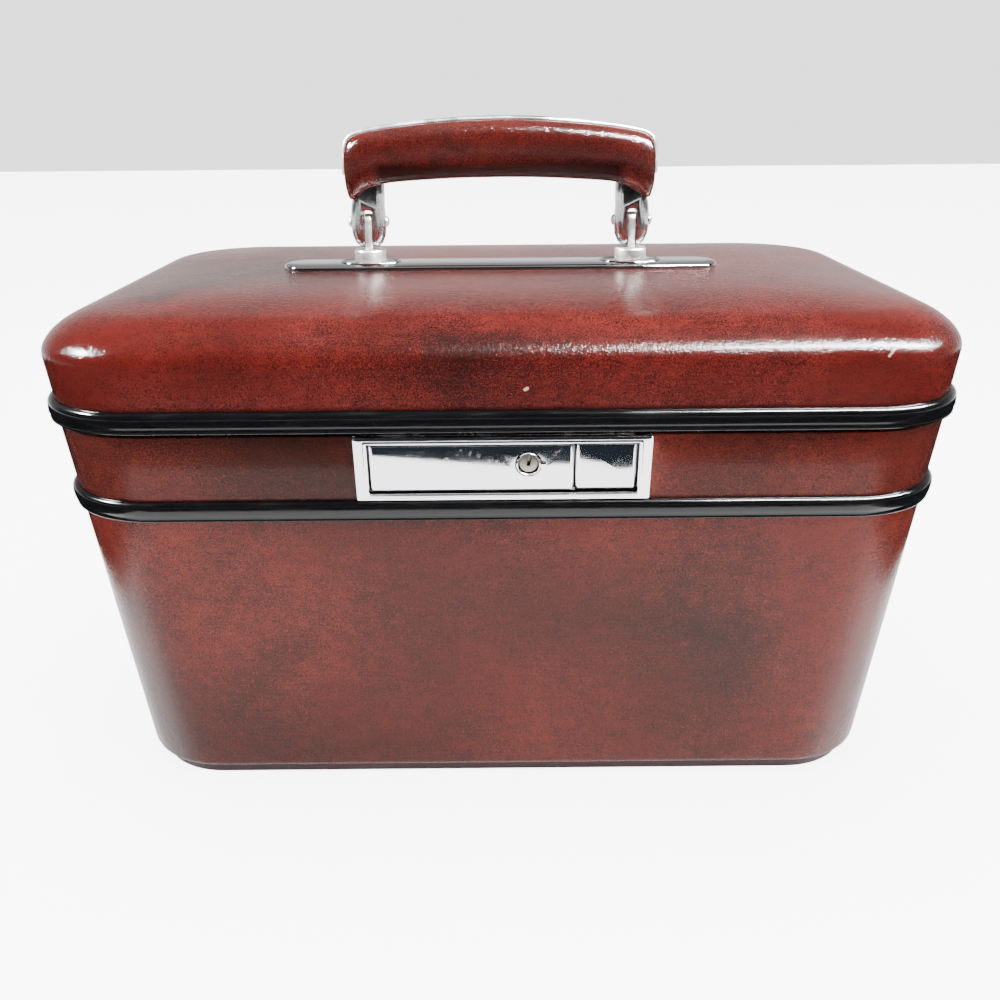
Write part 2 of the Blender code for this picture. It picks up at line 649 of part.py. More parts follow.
# ---------------------------------------------------------------- carry handle
def stadium(half_x, half_y, steps=6):
    points = []
    for sign, start in ((1, -90), (-1, 90)):
        for step in range(steps + 1):
            angle = math.radians(start + 180 * step / steps)
            points.append((sign * (half_x - half_y) + half_y * math.cos(angle), half_y * math.sin(angle)))
    return points


def build_handle_mount(mats, lid_shell, hinge):
    low = LID_TOP + GAP
    plate = add_object("handle_plate", prism(stadium(*PLATE_HALF), low, low + PLATE_THICK, "Z"),
                       mats["chrome"], parent=hinge)
    holes = bmesh.new()
    for sign in (-1, 1):
        hole = prism(circle(STEM_R + GAP, 12, (sign * HANDLE_X, 0)), LINING_TOP_Z - 0.0020, 0.21, "Z")
        part = bpy.data.meshes.new("hole")
        hole.to_mesh(part)
        hole.free()
        holes.from_mesh(part)
        bpy.data.meshes.remove(part)
    cutter = add_cutter("cut_stem_holes", holes, parent=hinge)
    for target in (plate, lid_shell):
        boolean(target, cutter)
    for side, x in (("left", -HANDLE_X), ("right", HANDLE_X)):
        add_handle_post(side, x, low + PLATE_THICK + GAP, mats, hinge)


def add_handle_post(side, x, base, mats, hinge):
    """Post with its stem, boss and drilled tab, and the nut that clamps it under the lid."""
    profile = [(STEM_R, STEM_LOW), (STEM_R, base), (POST_R, base), (POST_R, POST_TOP - 0.0005),
               (POST_R - 0.0005, POST_TOP)]
    post = lathe(profile, 20)
    bmesh.ops.translate(post, verts=post.verts, vec=(x, 0, 0))
    post = add_object(f"handle_post_{side}", post, mats["chrome"], parent=hinge)
    half_x, half_y = TAB_HALF
    top = [(half_y * math.cos(math.radians(a)), HANDLE_PIN_Z + TAB_TOP_R * math.sin(math.radians(a)))
           for a in range(0, 181, 30)]
    tab = prism(top + [(-half_y, POST_TOP - 0.001), (half_y, POST_TOP - 0.001)], x - half_x, x + half_x)
    boolean(post, add_cutter(f"join_tab_{side}", tab, parent=hinge), "UNION")
    bore_r = HANDLE_PIN_R + 0.00015
    bore = prism(circle(bore_r, 16, (0, HANDLE_PIN_Z)), x - 0.003, x + 0.003)
    boolean(post, add_cutter(f"cut_tab_bore_{side}", bore, parent=hinge))
    nut_low = STEM_LOW + 0.0002
    nut_top = LID_TOP - WALL - GAP
    nut = prism(circle(NUT_R, 6, (x, 0)), nut_low, nut_top, "Z")
    nut = add_object(f"handle_nut_{side}", nut, mats["steel"], parent=hinge)
    bore = prism(circle(STEM_R + 0.0002, 12, (x, 0)), nut_low - 0.001, nut_top + 0.001, "Z")
    boolean(nut, add_cutter(f"cut_nut_{side}", bore, parent=hinge))


def grip_stations():
    """Half outline of the grip: distance from the centre, top height and underside height."""
    return [(0.0000, 0.2618, 0.2385), (0.0160, 0.2614, 0.2383), (0.0320, 0.2603, 0.2376),
            (0.0460, 0.2588, 0.2366), (0.0530, 0.2577, 0.2353), (0.0580, 0.2562, 0.2336),
            (0.0615, 0.2542, 0.2304), (0.0638, 0.2515, 0.2300), (0.0648, 0.2480, 0.2330)]


def mirrored(stations):
    return [(-x, top, low) for x, top, low in stations[:0:-1]] + stations


def grip_mesh():
    rings = []
    sides = 14
    for x, top, low in mirrored(grip_stations()):
        narrow = 1.0 if abs(x) < 0.06 else 0.86
        centre, half = (top + low) / 2, (top - low) / 2
        ring = []
        for i in range(sides):
            angle = 2 * math.pi * (i + 0.5) / sides
            c, s = math.cos(angle), math.sin(angle)
            y = GRIP_HALF_Y * narrow * math.copysign(abs(c) ** 0.7, c)
            ring.append((x, y, centre + half * math.copysign(abs(s) ** 0.7, s)))
        rings.append(ring)
    return loft(rings)


def strip_mesh():
    """Chrome strip along the top of the grip and down over both ends."""
    spine = [(x, top) for x, top, _ in mirrored(grip_stations())]
    tail = (0.0652, 0.2380)
    spine = [(-tail[0], tail[1])] + spine + [tail]
    centre = Vector((0, 0.235))
    inner = []
    outer = []
    for i, point in enumerate(spine):
        before = Vector(spine[max(i - 1, 0)])
        after = Vector(spine[min(i + 1, len(spine) - 1)])
        along = (after - before).normalized()
        normal = Vector((-along.y, along.x))
        if normal.dot(Vector(point) - centre) < 0:
            normal = -normal
        inner.append(tuple(Vector(point) + normal * 2 * GAP))
        outer.append(tuple(Vector(point) + normal * (2 * GAP + STRIP_THICK)))
    return prism(inner + outer[::-1], -STRIP_HALF_Y, STRIP_HALF_Y, "Y")


def fork_outline(x, sign):
    """Front outline of a fork: cheeks either side of the slot, shoulder under the grip's end."""
    cheek = [(FORK_SLOT_HALF, FORK_LOW), (0.0045, FORK_LOW + 0.0006), (0.0066, FORK_LOW + 0.0032),
             (FORK_HALF_X, FORK_LOW + 0.0080)]
    outer = cheek + [(FORK_HALF_X, 0.2262), (0.0062, 0.2290), (0.0042, 0.2297)]
    inner = [(-p, z) for p, z in cheek] + [(-FORK_HALF_X, 0.2355)]
    slot = [(-FORK_SLOT_HALF, FORK_SLOT_TOP), (FORK_SLOT_HALF, FORK_SLOT_TOP)]
    points = outer + [(0.0014, 0.2330), (-0.0036, 0.2345)] + inner[::-1] + slot
    return [(x + sign * p, z) for p, z in points]


def build_handle(mats, hinge):
    pivot = add_empty("handle_axis", (0, 0, HANDLE_PIN_Z), parent=hinge)
    add_object("grip", grip_mesh(), mats["vinyl"], parent=pivot)
    add_object("grip_strip", strip_mesh(), mats["chrome"], parent=pivot)
    for side, sign in (("left", -1), ("right", 1)):
        x = sign * HANDLE_X
        fork = prism(fork_outline(x, sign), -FORK_HALF_Y, FORK_HALF_Y, "Y")
        fork = add_object(f"handle_fork_{side}", fork, mats["chrome"], parent=pivot)
        bore = prism(circle(HANDLE_PIN_R + 0.0002, 16, (0, HANDLE_PIN_Z)), x - 0.012, x + 0.012)
        boolean(fork, add_cutter(f"cut_fork_bore_{side}", bore, parent=pivot))
        reach = FORK_HALF_X + GAP
        half_head = PIN_HEAD / 2
        profile = [(half_head, -reach - PIN_HEAD), (PIN_HEAD_R, -reach - half_head), (PIN_HEAD_R, -reach),
                   (HANDLE_PIN_R, -reach), (HANDLE_PIN_R, reach), (PIN_HEAD_R, reach),
                   (PIN_HEAD_R, reach + half_head), (half_head, reach + PIN_HEAD)]
        pin = lathe(profile, 16, "X")
        add_object(f"handle_pin_{side}", pin, mats["steel"], (x, 0, HANDLE_PIN_Z), parent=pivot)


# ---------------------------------------------------------------- tray
def build_tray(mats):
    """Lift-out tray: one wide compartment at the front and three behind it."""
    body = prism(rounded_rect(*TRAY_HALF, TRAY_RADIUS), *TRAY_Z, "Z")
    tray = add_object("tray", body, mats["tray"])
    inner_x, inner_y = TRAY_HALF[0] - TRAY_WALL, TRAY_HALF[1] - TRAY_WALL
    floor = TRAY_Z[0] + TRAY_FLOOR
    radius = TRAY_RADIUS - TRAY_WALL
    whole = prism(rounded_rect(inner_x, inner_y, radius), floor, TRAY_Z[1] + 0.01, "Z")
    boolean(tray, add_cutter("cut_tray", whole))
    half = TRAY_WALL / 2
    wall_top = TRAY_Z[1] - DIVIDER_DROP
    long_wall = box((-inner_x - half, inner_x + half), (TRAY_SPLIT_Y - half, TRAY_SPLIT_Y + half),
                    (floor - half, wall_top))
    boolean(tray, add_cutter("join_tray_long_wall", long_wall), "UNION")
    for side, sign in (("left", -1), ("right", 1)):
        x = sign * inner_x / 3
        wall = box((x - half, x + half), (TRAY_SPLIT_Y, inner_y + half), (floor - half, wall_top - 0.0005))
        boolean(tray, add_cutter(f"join_tray_wall_{side}", wall), "UNION")
        finger = box((sign * inner_x - 0.004, sign * inner_x + 0.004), (-FINGER_HALF, FINGER_HALF),
                     (TRAY_Z[1] - FINGER_DEEP, TRAY_Z[1] + 0.01))
        boolean(tray, add_cutter(f"cut_tray_finger_{side}", finger))


def main():
    for obj in list(bpy.data.objects):
        bpy.data.objects.remove(obj, do_unlink=True)
    mats = make_materials()
    lid_hinge = add_empty("lid_axis", (0, HINGE_Y, PARTING_Z))
    body_shell, body_lining, body_frame = build_body(mats)
    lid_shell = build_lid(mats, lid_hinge)
    build_hinges(mats, body_shell, lid_shell, lid_hinge)
    build_lock(mats, body_shell, body_lining, body_frame)
    build_handle_mount(mats, lid_shell, lid_hinge)
    build_handle(mats, lid_hinge)
    build_tray(mats)


main()
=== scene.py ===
"""Looks of the vintage makeup train case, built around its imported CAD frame."""

import json
from math import atan, copysign, cos, dist, pi, radians, sin, tan

import bmesh
import bpy
from mathutils import Matrix, Vector


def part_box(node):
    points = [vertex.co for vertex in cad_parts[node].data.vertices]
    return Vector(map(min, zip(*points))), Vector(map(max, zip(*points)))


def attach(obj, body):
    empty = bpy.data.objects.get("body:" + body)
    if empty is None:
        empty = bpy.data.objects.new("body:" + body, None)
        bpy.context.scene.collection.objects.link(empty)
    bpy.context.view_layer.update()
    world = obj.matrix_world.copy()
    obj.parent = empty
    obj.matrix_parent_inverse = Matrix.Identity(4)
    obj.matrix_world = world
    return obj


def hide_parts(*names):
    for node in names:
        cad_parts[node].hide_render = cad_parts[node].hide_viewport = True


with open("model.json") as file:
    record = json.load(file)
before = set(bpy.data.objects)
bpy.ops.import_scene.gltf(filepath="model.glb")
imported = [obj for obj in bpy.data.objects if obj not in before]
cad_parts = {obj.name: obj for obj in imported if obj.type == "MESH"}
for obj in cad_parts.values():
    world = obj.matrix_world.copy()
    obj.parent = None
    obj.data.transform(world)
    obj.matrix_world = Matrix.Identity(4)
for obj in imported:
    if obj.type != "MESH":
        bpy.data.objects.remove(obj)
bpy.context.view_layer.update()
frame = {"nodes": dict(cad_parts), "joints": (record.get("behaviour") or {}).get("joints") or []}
JOINTS = {joint["name"]: joint for joint in frame["joints"]}

# ---------------- sizes, from the frame (metres)
SIDES = (("left", -1), ("right", 1))
QUARTERS = ((1, 1), (-1, 1), (-1, -1), (1, -1))
GAP = 0.0003                                 # between pieces that touch
WALL = 0.003
BAND_OUT = 0.0026                            # how far the bands stand out from the wall
FOOT_IN = 0.0042                             # the foot's inset from the body's base
BAND_LOW, BAND_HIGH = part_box("upper_band")
FOOT_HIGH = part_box("foot_plate")[1]
FOOT_TOP = FOOT_HIGH.z
RIM_HALF = (BAND_HIGH.x - BAND_OUT, BAND_HIGH.y - BAND_OUT)
RIM_RADIUS = 0.0385
RIM_Z = (BAND_LOW.z + BAND_HIGH.z) / 2
BASE_HALF = (FOOT_HIGH.x + FOOT_IN, FOOT_HIGH.y + FOOT_IN)
BASE_RADIUS = 0.036
BODY_LOW, BODY_TOP = (corner.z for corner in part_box("body_shell"))
LID_LOW, LID_TOP = (corner.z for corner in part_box("lid_shell"))
_, HINGE_Y, PARTING_Z = JOINTS["lid_hinge"]["pos_m"]
LEAN_FROM = 0.168                            # the lid's wall leans out from here up
BULGE_Z = 0.1838                             # to here, its widest section
BULGE_OUT = 0.0018
SHOULDER_IN = 0.019
SHOULDER_UP = 0.0115
CROWN_IN = 0.075
CROWN_UP = LID_TOP - BULGE_Z - SHOULDER_UP
TAPER = atan((RIM_HALF[1] - BASE_HALF[1]) / (RIM_Z - FOOT_TOP))
LEAN = atan(BULGE_OUT / (BULGE_Z - BAND_HIGH.z))

CORNER = 14                                  # segments round each plan corner
SIDE = (22, 14)                              # segments along the long and short sides


# ---------------- node helpers
def add_node(tree, kind, settings=None, **inputs):
    """New node; settings are its attributes, inputs its sockets, named with _ for a space or as i0, i1."""
    node = tree.nodes.new("ShaderNode" + kind)
    for key, value in (settings or {}).items():
        setattr(node, key, value)
    for key, value in inputs.items():
        socket = node.inputs[int(key[1]) if key in ("i0", "i1") else key.replace("_", " ")]
        if isinstance(value, bpy.types.NodeSocket):
            tree.links.new(value, socket)
        else:
            socket.default_value = value
    return node


def place(tree, scale=(1, 1, 1), turn=(0, 0, 0)):
    where = add_node(tree, "TexCoord").outputs["Object"]
    return add_node(tree, "Mapping", Vector=where, Scale=scale, Rotation=turn).outputs[0]


def part(tree, vector, axis):
    return add_node(tree, "SeparateXYZ", Vector=vector).outputs[axis]


def cloud(tree, where, scale, detail=2.0, roughness=0.5, distortion=0.0):
    node = add_node(tree, "TexNoise", Vector=where, Scale=scale, Detail=detail,
                    Roughness=roughness, Distortion=distortion)
    return node.outputs["Fac"]


def maths(tree, operation, a, b=0.0, clamp=False):
    return add_node(tree, "Math", {"operation": operation, "use_clamp": clamp},
                    i0=a, i1=b).outputs[0]


def times(tree, a, b):
    return maths(tree, "MULTIPLY", a, b)


def plus(tree, a, b):
    return maths(tree, "ADD", a, b)


def stretch(tree, value, low, high, to_low=0.0, to_high=1.0):
    """Map a value from low..high to to_low..to_high, smoothly and clamped."""
    node = add_node(tree, "MapRange", {"interpolation_type": "SMOOTHSTEP"}, Value=value)
    for key, number in (("From Min", low), ("From Max", high), ("To Min", to_low), ("To Max", to_high)):
        node.inputs[key].default_value = number
    return node.outputs[0]


def mix(tree, share, a, b, mode="MIX"):
    """Colour a share of the way from a to b, each a colour or a socket."""
    node = add_node(tree, "Mix", {"data_type": "RGBA", "blend_type": mode}, i0=share)
    for socket, value in ((node.inputs[6], a), (node.inputs[7], b)):
        if isinstance(value, bpy.types.NodeSocket):
            tree.links.new(value, socket)
        else:
            socket.default_value = (*value, 1.0)
    return node.outputs[2]


def bump(tree, height, strength, distance, normal=None):
    node = add_node(tree, "Bump", Height=height, Strength=strength, Distance=distance)
    if normal is not None:
        tree.links.new(normal, node.inputs["Normal"])
    return node.outputs[0]


def openness(tree, distance):
    """Near 0 in creases narrower than a distance, 1 on open faces."""
    node = add_node(tree, "AmbientOcclusion", {"samples": 6}, Distance=distance)
    return node.outputs["AO"]


def new_material(name, **values):
    """Principled material; values are set on its sockets, _ standing for a space."""
    material = bpy.data.materials.new(name)
    material.use_nodes = True
    tree = material.node_tree
    shader = tree.nodes["Principled BSDF"]
    for key, value in values.items():
        shader.inputs[key.replace("_", " ")].default_value = value
    return material, tree, shader


def feed(tree, shader, **sockets):
    for key, value in sockets.items():
        tree.links.new(value, shader.inputs[key.replace("_", " ")])


# ---------------- materials
def thread_height(tree, across=2600.0, along=260.0):
    """Fine crossed threads, in each of the three directions."""
    sets = ((along, along, across), (across, along, along), (along, across, along))
    layers = [cloud(tree, place(tree, scale), 1.0, 1.0) for scale in sets]
    return plus(tree, plus(tree, layers[0], layers[1]), layers[2])


def mark_mask(tree, where, start, end, width):
    """1 on a thin line from start to end, 0 a width away from it."""
    a, b = Vector(start), Vector(end)
    along = b - a
    offset = add_node(tree, "VectorMath", {"operation": "SUBTRACT"}, i0=where, i1=a)
    dot = add_node(tree, "VectorMath", {"operation": "DOT_PRODUCT"},
                   i0=offset.outputs[0], i1=along / along.length_squared)
    share = maths(tree, "MULTIPLY", dot.outputs["Value"], 1.0, clamp=True)
    foot = add_node(tree, "VectorMath", {"operation": "SCALE"}, i0=along, Scale=share)
    away = add_node(tree, "VectorMath", {"operation": "DISTANCE"},
                    i0=offset.outputs[0], i1=foot.outputs[0])
    return stretch(tree, away.outputs["Value"], width * 0.35, width, 1.0, 0.0)


def weighted(tree, terms):
    """Sum of (value - 0.5) * weight, for values that vary about 0.5."""
    total = None
    for value, weight in terms:
        term = times(tree, maths(tree, "SUBTRACT", value, 0.5), weight)
        total = term if total is None else plus(tree, total, term)
    return total


def make_vinyl(name, red, bright, dark, cover, shine, coat, seed=0.0, painted_shade_up_wall=None, scuffs=(), cuts=(), painted_underside_shade=()):
    """Oxblood vinyl: red ground under a fine dark print that gathers in soft clouds, clear gloss on top.

    A lower cover gives more print, and a (z, z, from, to) height range adds print up the wall: painted shade
    that leaves the lower wall lighter, as if lit from the floor. Scuffs and cuts are lines of (start, end,
    width). Painted underside shade is a dark patch of (half width in x, z where full, z where none).
    """
    material, tree, shader = new_material(name, IOR=1.45, Specular_IOR_Level=shine, Coat_Weight=coat,
                                          Coat_Roughness=0.12)
    where = place(tree)
    shifted = add_node(tree, "Mapping", Vector=where, Location=(seed, seed * 0.7, -seed)).outputs[0]
    drift = cloud(tree, shifted, 8.0, 2.0, 0.5, 0.4)
    patch = cloud(tree, shifted, 22.0, 3.0, 0.55)
    cluster = cloud(tree, where, 170.0, 3.0, 0.65)
    speck = cloud(tree, where, 2500.0, 1.0, 0.6)
    rows = cloud(tree, place(tree, (90, 90, 1100)), 1.0, 1.0)
    level = weighted(tree, ((drift, 1.3), (patch, 1.15), (cluster, 0.45), (speck, 2.0), (rows, 0.25)))
    # painted shade: more print up the wall, so the lower wall stays lighter as if lit by the floor
    if painted_shade_up_wall:
        level = plus(tree, level, stretch(tree, part(tree, where, "Z"), *painted_shade_up_wall))
    ink = stretch(tree, level, cover - 0.4, cover + 0.4, 0.0, 0.95)
    ground = mix(tree, stretch(tree, patch, 0.36, 0.66), red, bright)
    colour = mix(tree, ink, ground, dark)
    grime = times(tree, stretch(tree, drift, 0.46, 0.7), 0.3)
    colour = mix(tree, grime, colour, [c * 0.7 for c in dark])

    cells = add_node(tree, "TexVoronoi", Vector=where, Scale=70.0)
    draw = add_node(tree, "SeparateColor", Color=cells.outputs["Color"]).outputs[0]
    lone = maths(tree, "GREATER_THAN", draw, 0.9)
    dust = times(tree, stretch(tree, cells.outputs["Distance"], 0.014, 0.034, 1.0, 0.0), lone)
    colour = mix(tree, times(tree, dust, 0.4), colour, (0.6, 0.45, 0.38))
    worn = None
    for scuff in scuffs:
        mask = times(tree, mark_mask(tree, where, *scuff), stretch(tree, cluster, 0.36, 0.56))
        colour = mix(tree, times(tree, mask, 0.8), colour, (0.74, 0.55, 0.47))
        worn = mask if worn is None else maths(tree, "MAXIMUM", worn, mask)
    for cut in cuts:
        colour = mix(tree, mark_mask(tree, where, *cut), colour, (0.01, 0.004, 0.004))
    # painted shade: darkens a low band of the grip's underside, between two heights, over its middle span
    for x_half, z_low, z_high in painted_underside_shade:
        across = maths(tree, "ABSOLUTE", part(tree, where, "X"))
        across = stretch(tree, across, x_half - 0.006, x_half, 1.0, 0.0)
        mask = times(tree, across, stretch(tree, part(tree, where, "Z"), z_low, z_high, 0.95, 0.0))
        colour = mix(tree, mask, colour, [c * 0.5 for c in dark])
    haze = plus(tree, stretch(tree, patch, 0.3, 0.7, 0.09, 0.15), times(tree, speck, 0.08))
    if worn is not None:
        haze = plus(tree, haze, times(tree, worn, 0.3))
    grain = bump(tree, thread_height(tree), 0.1, 0.0002)
    pebble = bump(tree, speck, 0.3, 0.0002, grain)
    lumps = bump(tree, cloud(tree, where, 560.0, 2.0, 0.6), 0.55, 0.0003, pebble)
    swell = bump(tree, patch, 0.25, 0.0006, lumps)
    feed(tree, shader, Base_Color=colour, Roughness=haze, Normal=swell)
    return material


def make_trim():
    """Glossy black extrusion with faint rubbing."""
    material, tree, shader = new_material("black_trim_gloss", IOR=1.37, Coat_Weight=0.04, Coat_Roughness=0.05)
    rub = cloud(tree, place(tree, (60, 60, 700)), 1.0, 3.0, 0.6)
    dust = cloud(tree, place(tree), 900.0, 2.0, 0.7)
    dusty = stretch(tree, dust, 0.66, 0.84, 0.0, 0.25)
    colour = mix(tree, dusty, (0.004, 0.004, 0.0045), (0.06, 0.055, 0.05))
    rough = stretch(tree, rub, 0.35, 0.75, 0.1, 0.24)
    feed(tree, shader, Base_Color=colour, Roughness=rough, Normal=bump(tree, rub, 0.05, 0.0003))
    return material


def make_plating(name, bright, dull, rough, grime, scratch):
    """Chrome or nickel plate: clean metal, dull pits, crossed hairline scratches, painted shade in the
    crevices.
    """
    material, tree, shader = new_material(name, Metallic=1.0)
    where = place(tree)
    pits = cloud(tree, where, 480.0, 3.0, 0.65)
    stain = cloud(tree, where, 55.0, 3.0, 0.6)
    dirt = times(tree, stretch(tree, pits, 0.52, 0.72), stretch(tree, stain, 0.4, 0.65))
    dirt = times(tree, dirt, grime)
    colour = mix(tree, dirt, bright, dull)
    # painted shade: the colour goes near black where creases and gaps close the surface in
    painted_crevice_shade = stretch(tree, openness(tree, 0.0024), 0.12, 0.55, 0.9, 0.0)
    colour = mix(tree, painted_crevice_shade, colour, (0.012, 0.011, 0.01))
    lines = cloud(tree, place(tree, (3200, 900, 120), (0.2, 0.5, 0.3)), 1.0, 2.0)
    cross = cloud(tree, place(tree, (150, 900, 2800), (0.4, 0.2, 0.7)), 1.0, 2.0)
    level = plus(tree, times(tree, dirt, 0.45), stretch(tree, stain, 0.3, 0.8, rough * 0.7, rough * 1.6))
    hairs = bump(tree, plus(tree, lines, cross), scratch, 0.0001)
    feed(tree, shader, Base_Color=colour, Roughness=level, Normal=hairs)
    return material


def make_satin():
    """Quilted lining cloth: soft rose satin with a fine crossed weave, with painted shade in its folds."""
    material, tree, shader = new_material("lining_satin", Sheen_Weight=0.12, Sheen_Roughness=0.4)
    shade = cloud(tree, place(tree), 14.0, 3.0, 0.55)
    colour = mix(tree, stretch(tree, shade, 0.3, 0.7), (0.24, 0.115, 0.09), (0.32, 0.165, 0.13))
    weave = thread_height(tree, 3600.0, 500.0)
    fine = stretch(tree, weave, 1.2, 1.8, 0.82, 1.05)
    grey = add_node(tree, "CombineColor", Red=fine, Green=fine, Blue=fine).outputs[0]
    colour = mix(tree, 1.0, colour, grey, "MULTIPLY")
    # painted shade: darker where the quilting's folds close in
    painted_fold_shade = stretch(tree, openness(tree, 0.006), 0.55, 0.95, 0.8, 0.0)
    colour = mix(tree, painted_fold_shade, colour, (0.08, 0.032, 0.026))
    rough = stretch(tree, shade, 0.3, 0.7, 0.42, 0.58)
    feed(tree, shader, Base_Color=colour, Roughness=rough, Normal=bump(tree, weave, 0.25, 0.0002))
    return material


def make_board(name, low, high, rough):
    """Plain board or moulding with a fine pebble."""
    material, tree, shader = new_material(name, IOR=1.48)
    where = place(tree)
    mottle = cloud(tree, where, 35.0, 3.0, 0.6)
    pebble = cloud(tree, where, 750.0, 2.0, 0.6)
    colour = mix(tree, stretch(tree, mottle, 0.3, 0.72), low, high)
    level = plus(tree, stretch(tree, mottle, 0.3, 0.7, rough, rough + 0.12), times(tree, pebble, 0.05))
    feed(tree, shader, Base_Color=colour, Roughness=level, Normal=bump(tree, pebble, 0.14, 0.0002))
    return material


def make_mirror():
    """Silvered glass with a little haze and age spots."""
    material, tree, shader = new_material("mirror_silver", Metallic=1.0)
    where = place(tree)
    spots = stretch(tree, cloud(tree, where, 240.0, 3.0, 0.7), 0.7, 0.8)
    haze = cloud(tree, where, 20.0, 3.0, 0.6)
    colour = mix(tree, times(tree, spots, 0.6), (0.86, 0.88, 0.88), (0.32, 0.28, 0.24))
    feed(tree, shader, Base_Color=colour, Roughness=stretch(tree, haze, 0.35, 0.75, 0.015, 0.06))
    return material


# ---------------- plan and mesh helpers
def arc(half_x, half_y, angles, centre=(0.0, 0.0)):
    """Points of an ellipse at the angles, in degrees."""
    turns = [radians(angle) for angle in angles]
    return [(centre[0] + half_x * cos(turn), centre[1] + half_y * sin(turn)) for turn in turns]


def quarter(centre, radius, index, steps):
    """Points round one quarter of a circle, the quarters counted from the +x, +y one."""
    return arc(radius, radius, [90 * (index + step / steps) for step in range(steps + 1)], centre)


def plan(half_x, half_y, radius, corner=CORNER, sides=SIDE):
    """Rounded rectangle, counter-clockwise, with points along its straight sides too."""
    points = []
    centres = [(sx * (half_x - radius), sy * (half_y - radius)) for sx, sy in QUARTERS]
    for index, centre in enumerate(centres):
        points += quarter(centre, radius, index, corner)
        start = Vector(points[-1])
        end = Vector(arc(radius, radius, [90 * (index + 1)], centres[(index + 1) % 4])[0])
        count = sides[index % 2]
        points += [tuple(start.lerp(end, step / count)) for step in range(1, count)]
    return points


def level(z, points):
    """Plan points lifted to a height."""
    return [(x, y, z) for x, y in points]


def stack(section, half_x, half_y, radius):
    """Rounded rectangles, one at each (inset, height) of a section."""
    return [level(z, plan(half_x - inset, half_y - inset, radius - inset)) for inset, z in section]


def rise(z):
    return (z - FOOT_TOP) / (RIM_Z - FOOT_TOP)


def wall_y(z):
    return BASE_HALF[1] + (RIM_HALF[1] - BASE_HALF[1]) * rise(z)


def body_ring(z, offset=0.0, bow=0.0):
    """Plan of the tapered body at z, moved out by offset, its straight sides bowed out by bow."""
    half_x = BASE_HALF[0] + (RIM_HALF[0] - BASE_HALF[0]) * rise(z)
    radius = BASE_RADIUS + (RIM_RADIUS - BASE_RADIUS) * rise(z)
    half_x, half_y = half_x + offset, wall_y(z) + offset
    ring = []
    for x, y in plan(half_x, half_y, radius + offset):
        if bow:
            x, y = bowed(x, y, half_x, half_y, radius + offset, bow)
        ring.append((x, y, z))
    return ring


def bowed(x, y, half_x, half_y, radius, bow):
    """Point of a plan's straight side, moved out; the end walls bow less."""
    flat_x, flat_y = half_x - radius, half_y - radius
    if abs(x) < flat_x:
        y += copysign(bow * (1 - (x / flat_x) ** 2) ** 1.5, y)
    elif abs(y) < flat_y:
        x += copysign(bow * 0.6 * (1 - (y / flat_y) ** 2) ** 1.5, x)
    return x, y


def rim_ring(z, offset=0.0):
    return level(z, plan(RIM_HALF[0] + offset, RIM_HALF[1] + offset, RIM_RADIUS + offset))


def lid_ring(z, inset):
    """Plan of the lid at z, an inset from its widest section."""
    half_x, half_y = (half + BULGE_OUT - inset for half in RIM_HALF)
    radius = min(RIM_RADIUS + BULGE_OUT - 0.38 * inset, half_y - 0.0005)
    return level(z, plan(half_x, half_y, radius))


def lid_wall_y(z):
    """Distance of the lid's leaning wall from the centre at height z."""
    return RIM_HALF[1] + (z - BAND_HIGH.z) * tan(LEAN)


def crown(inset):
    """Height that the lid's crown adds at an inset from its widest section."""
    return CROWN_UP * (1 - (1 - min(inset / CROWN_IN, 1.0)) ** 2.5)


def dome(depth, roof, steps):
    """Heights and insets up the lid's shoulder and over its crown, a depth inside its face."""
    places = []
    for step in range(steps + 1):
        turn = radians(90 * step / steps)
        inset = depth + (SHOULDER_IN - depth) * (1 - cos(turn))
        places.append((BULGE_Z + (SHOULDER_UP - depth) * sin(turn) + crown(inset), inset, turn))
    for inset in (0.022, 0.026, 0.031, 0.037, 0.044, 0.052, 0.062, CROWN_IN):
        z = min(LID_TOP - CROWN_UP - depth + crown(inset), roof)
        places.append((z, inset, radians(90)))
    return places


def loft(rings, closed=False):
    """Skin equal rings in order; the ends are capped unless the loft is closed."""
    bm = bmesh.new()
    loops = [[bm.verts.new(point) for point in ring] for ring in rings]
    count = len(rings[0])
    pairs = list(zip(loops, loops[1:]))
    if closed:
        pairs.append((loops[-1], loops[0]))
    for low, high in pairs:
        for i in range(count):
            j = (i + 1) % count
            bm.faces.new((low[i], low[j], high[j], high[i]))
    if not closed:
        bm.faces.new(loops[0][::-1])
        bm.faces.new(loops[-1])
    return bm


SPOTS = {"X": lambda p, q, h: (h, p, q), "Y": lambda p, q, h: (q, h, p), "Z": lambda p, q, h: (p, q, h)}


def prism(outline, low, high, axis="X"):
    """Outline pushed along an axis; along Y its points are (x, z)."""
    if axis == "Y":
        outline = [(q, p) for p, q in outline]
    return loft([[SPOTS[axis](p, q, height) for p, q in outline] for height in (low, high)])


def box(x, y, z):
    return prism([(x[0], y[0]), (x[1], y[0]), (x[1], y[1]), (x[0], y[1])], z[0], z[1], "Z")


def circle(radius, steps, centre=(0.0, 0.0)):
    return arc(radius, radius, [360 * i / steps for i in range(steps)], centre)


def turned(profile, steps=48, axis="Z", closed=False):
    """Turn (radius, height) points about an axis."""
    rings = [[SPOTS[axis](p, q, height) for p, q in circle(radius, steps)] for radius, height in profile]
    return loft(rings, closed)


def two_ended(end):
    """Profile of a rod with the same (radius, height) end at the bottom, upside down."""
    return [(radius, -height) for radius, height in end[::-1]] + end


def tilted(point, angle):
    """Frame at a point, turned about X."""
    return Matrix.Translation(point) @ Matrix.Rotation(angle, 4, "X")


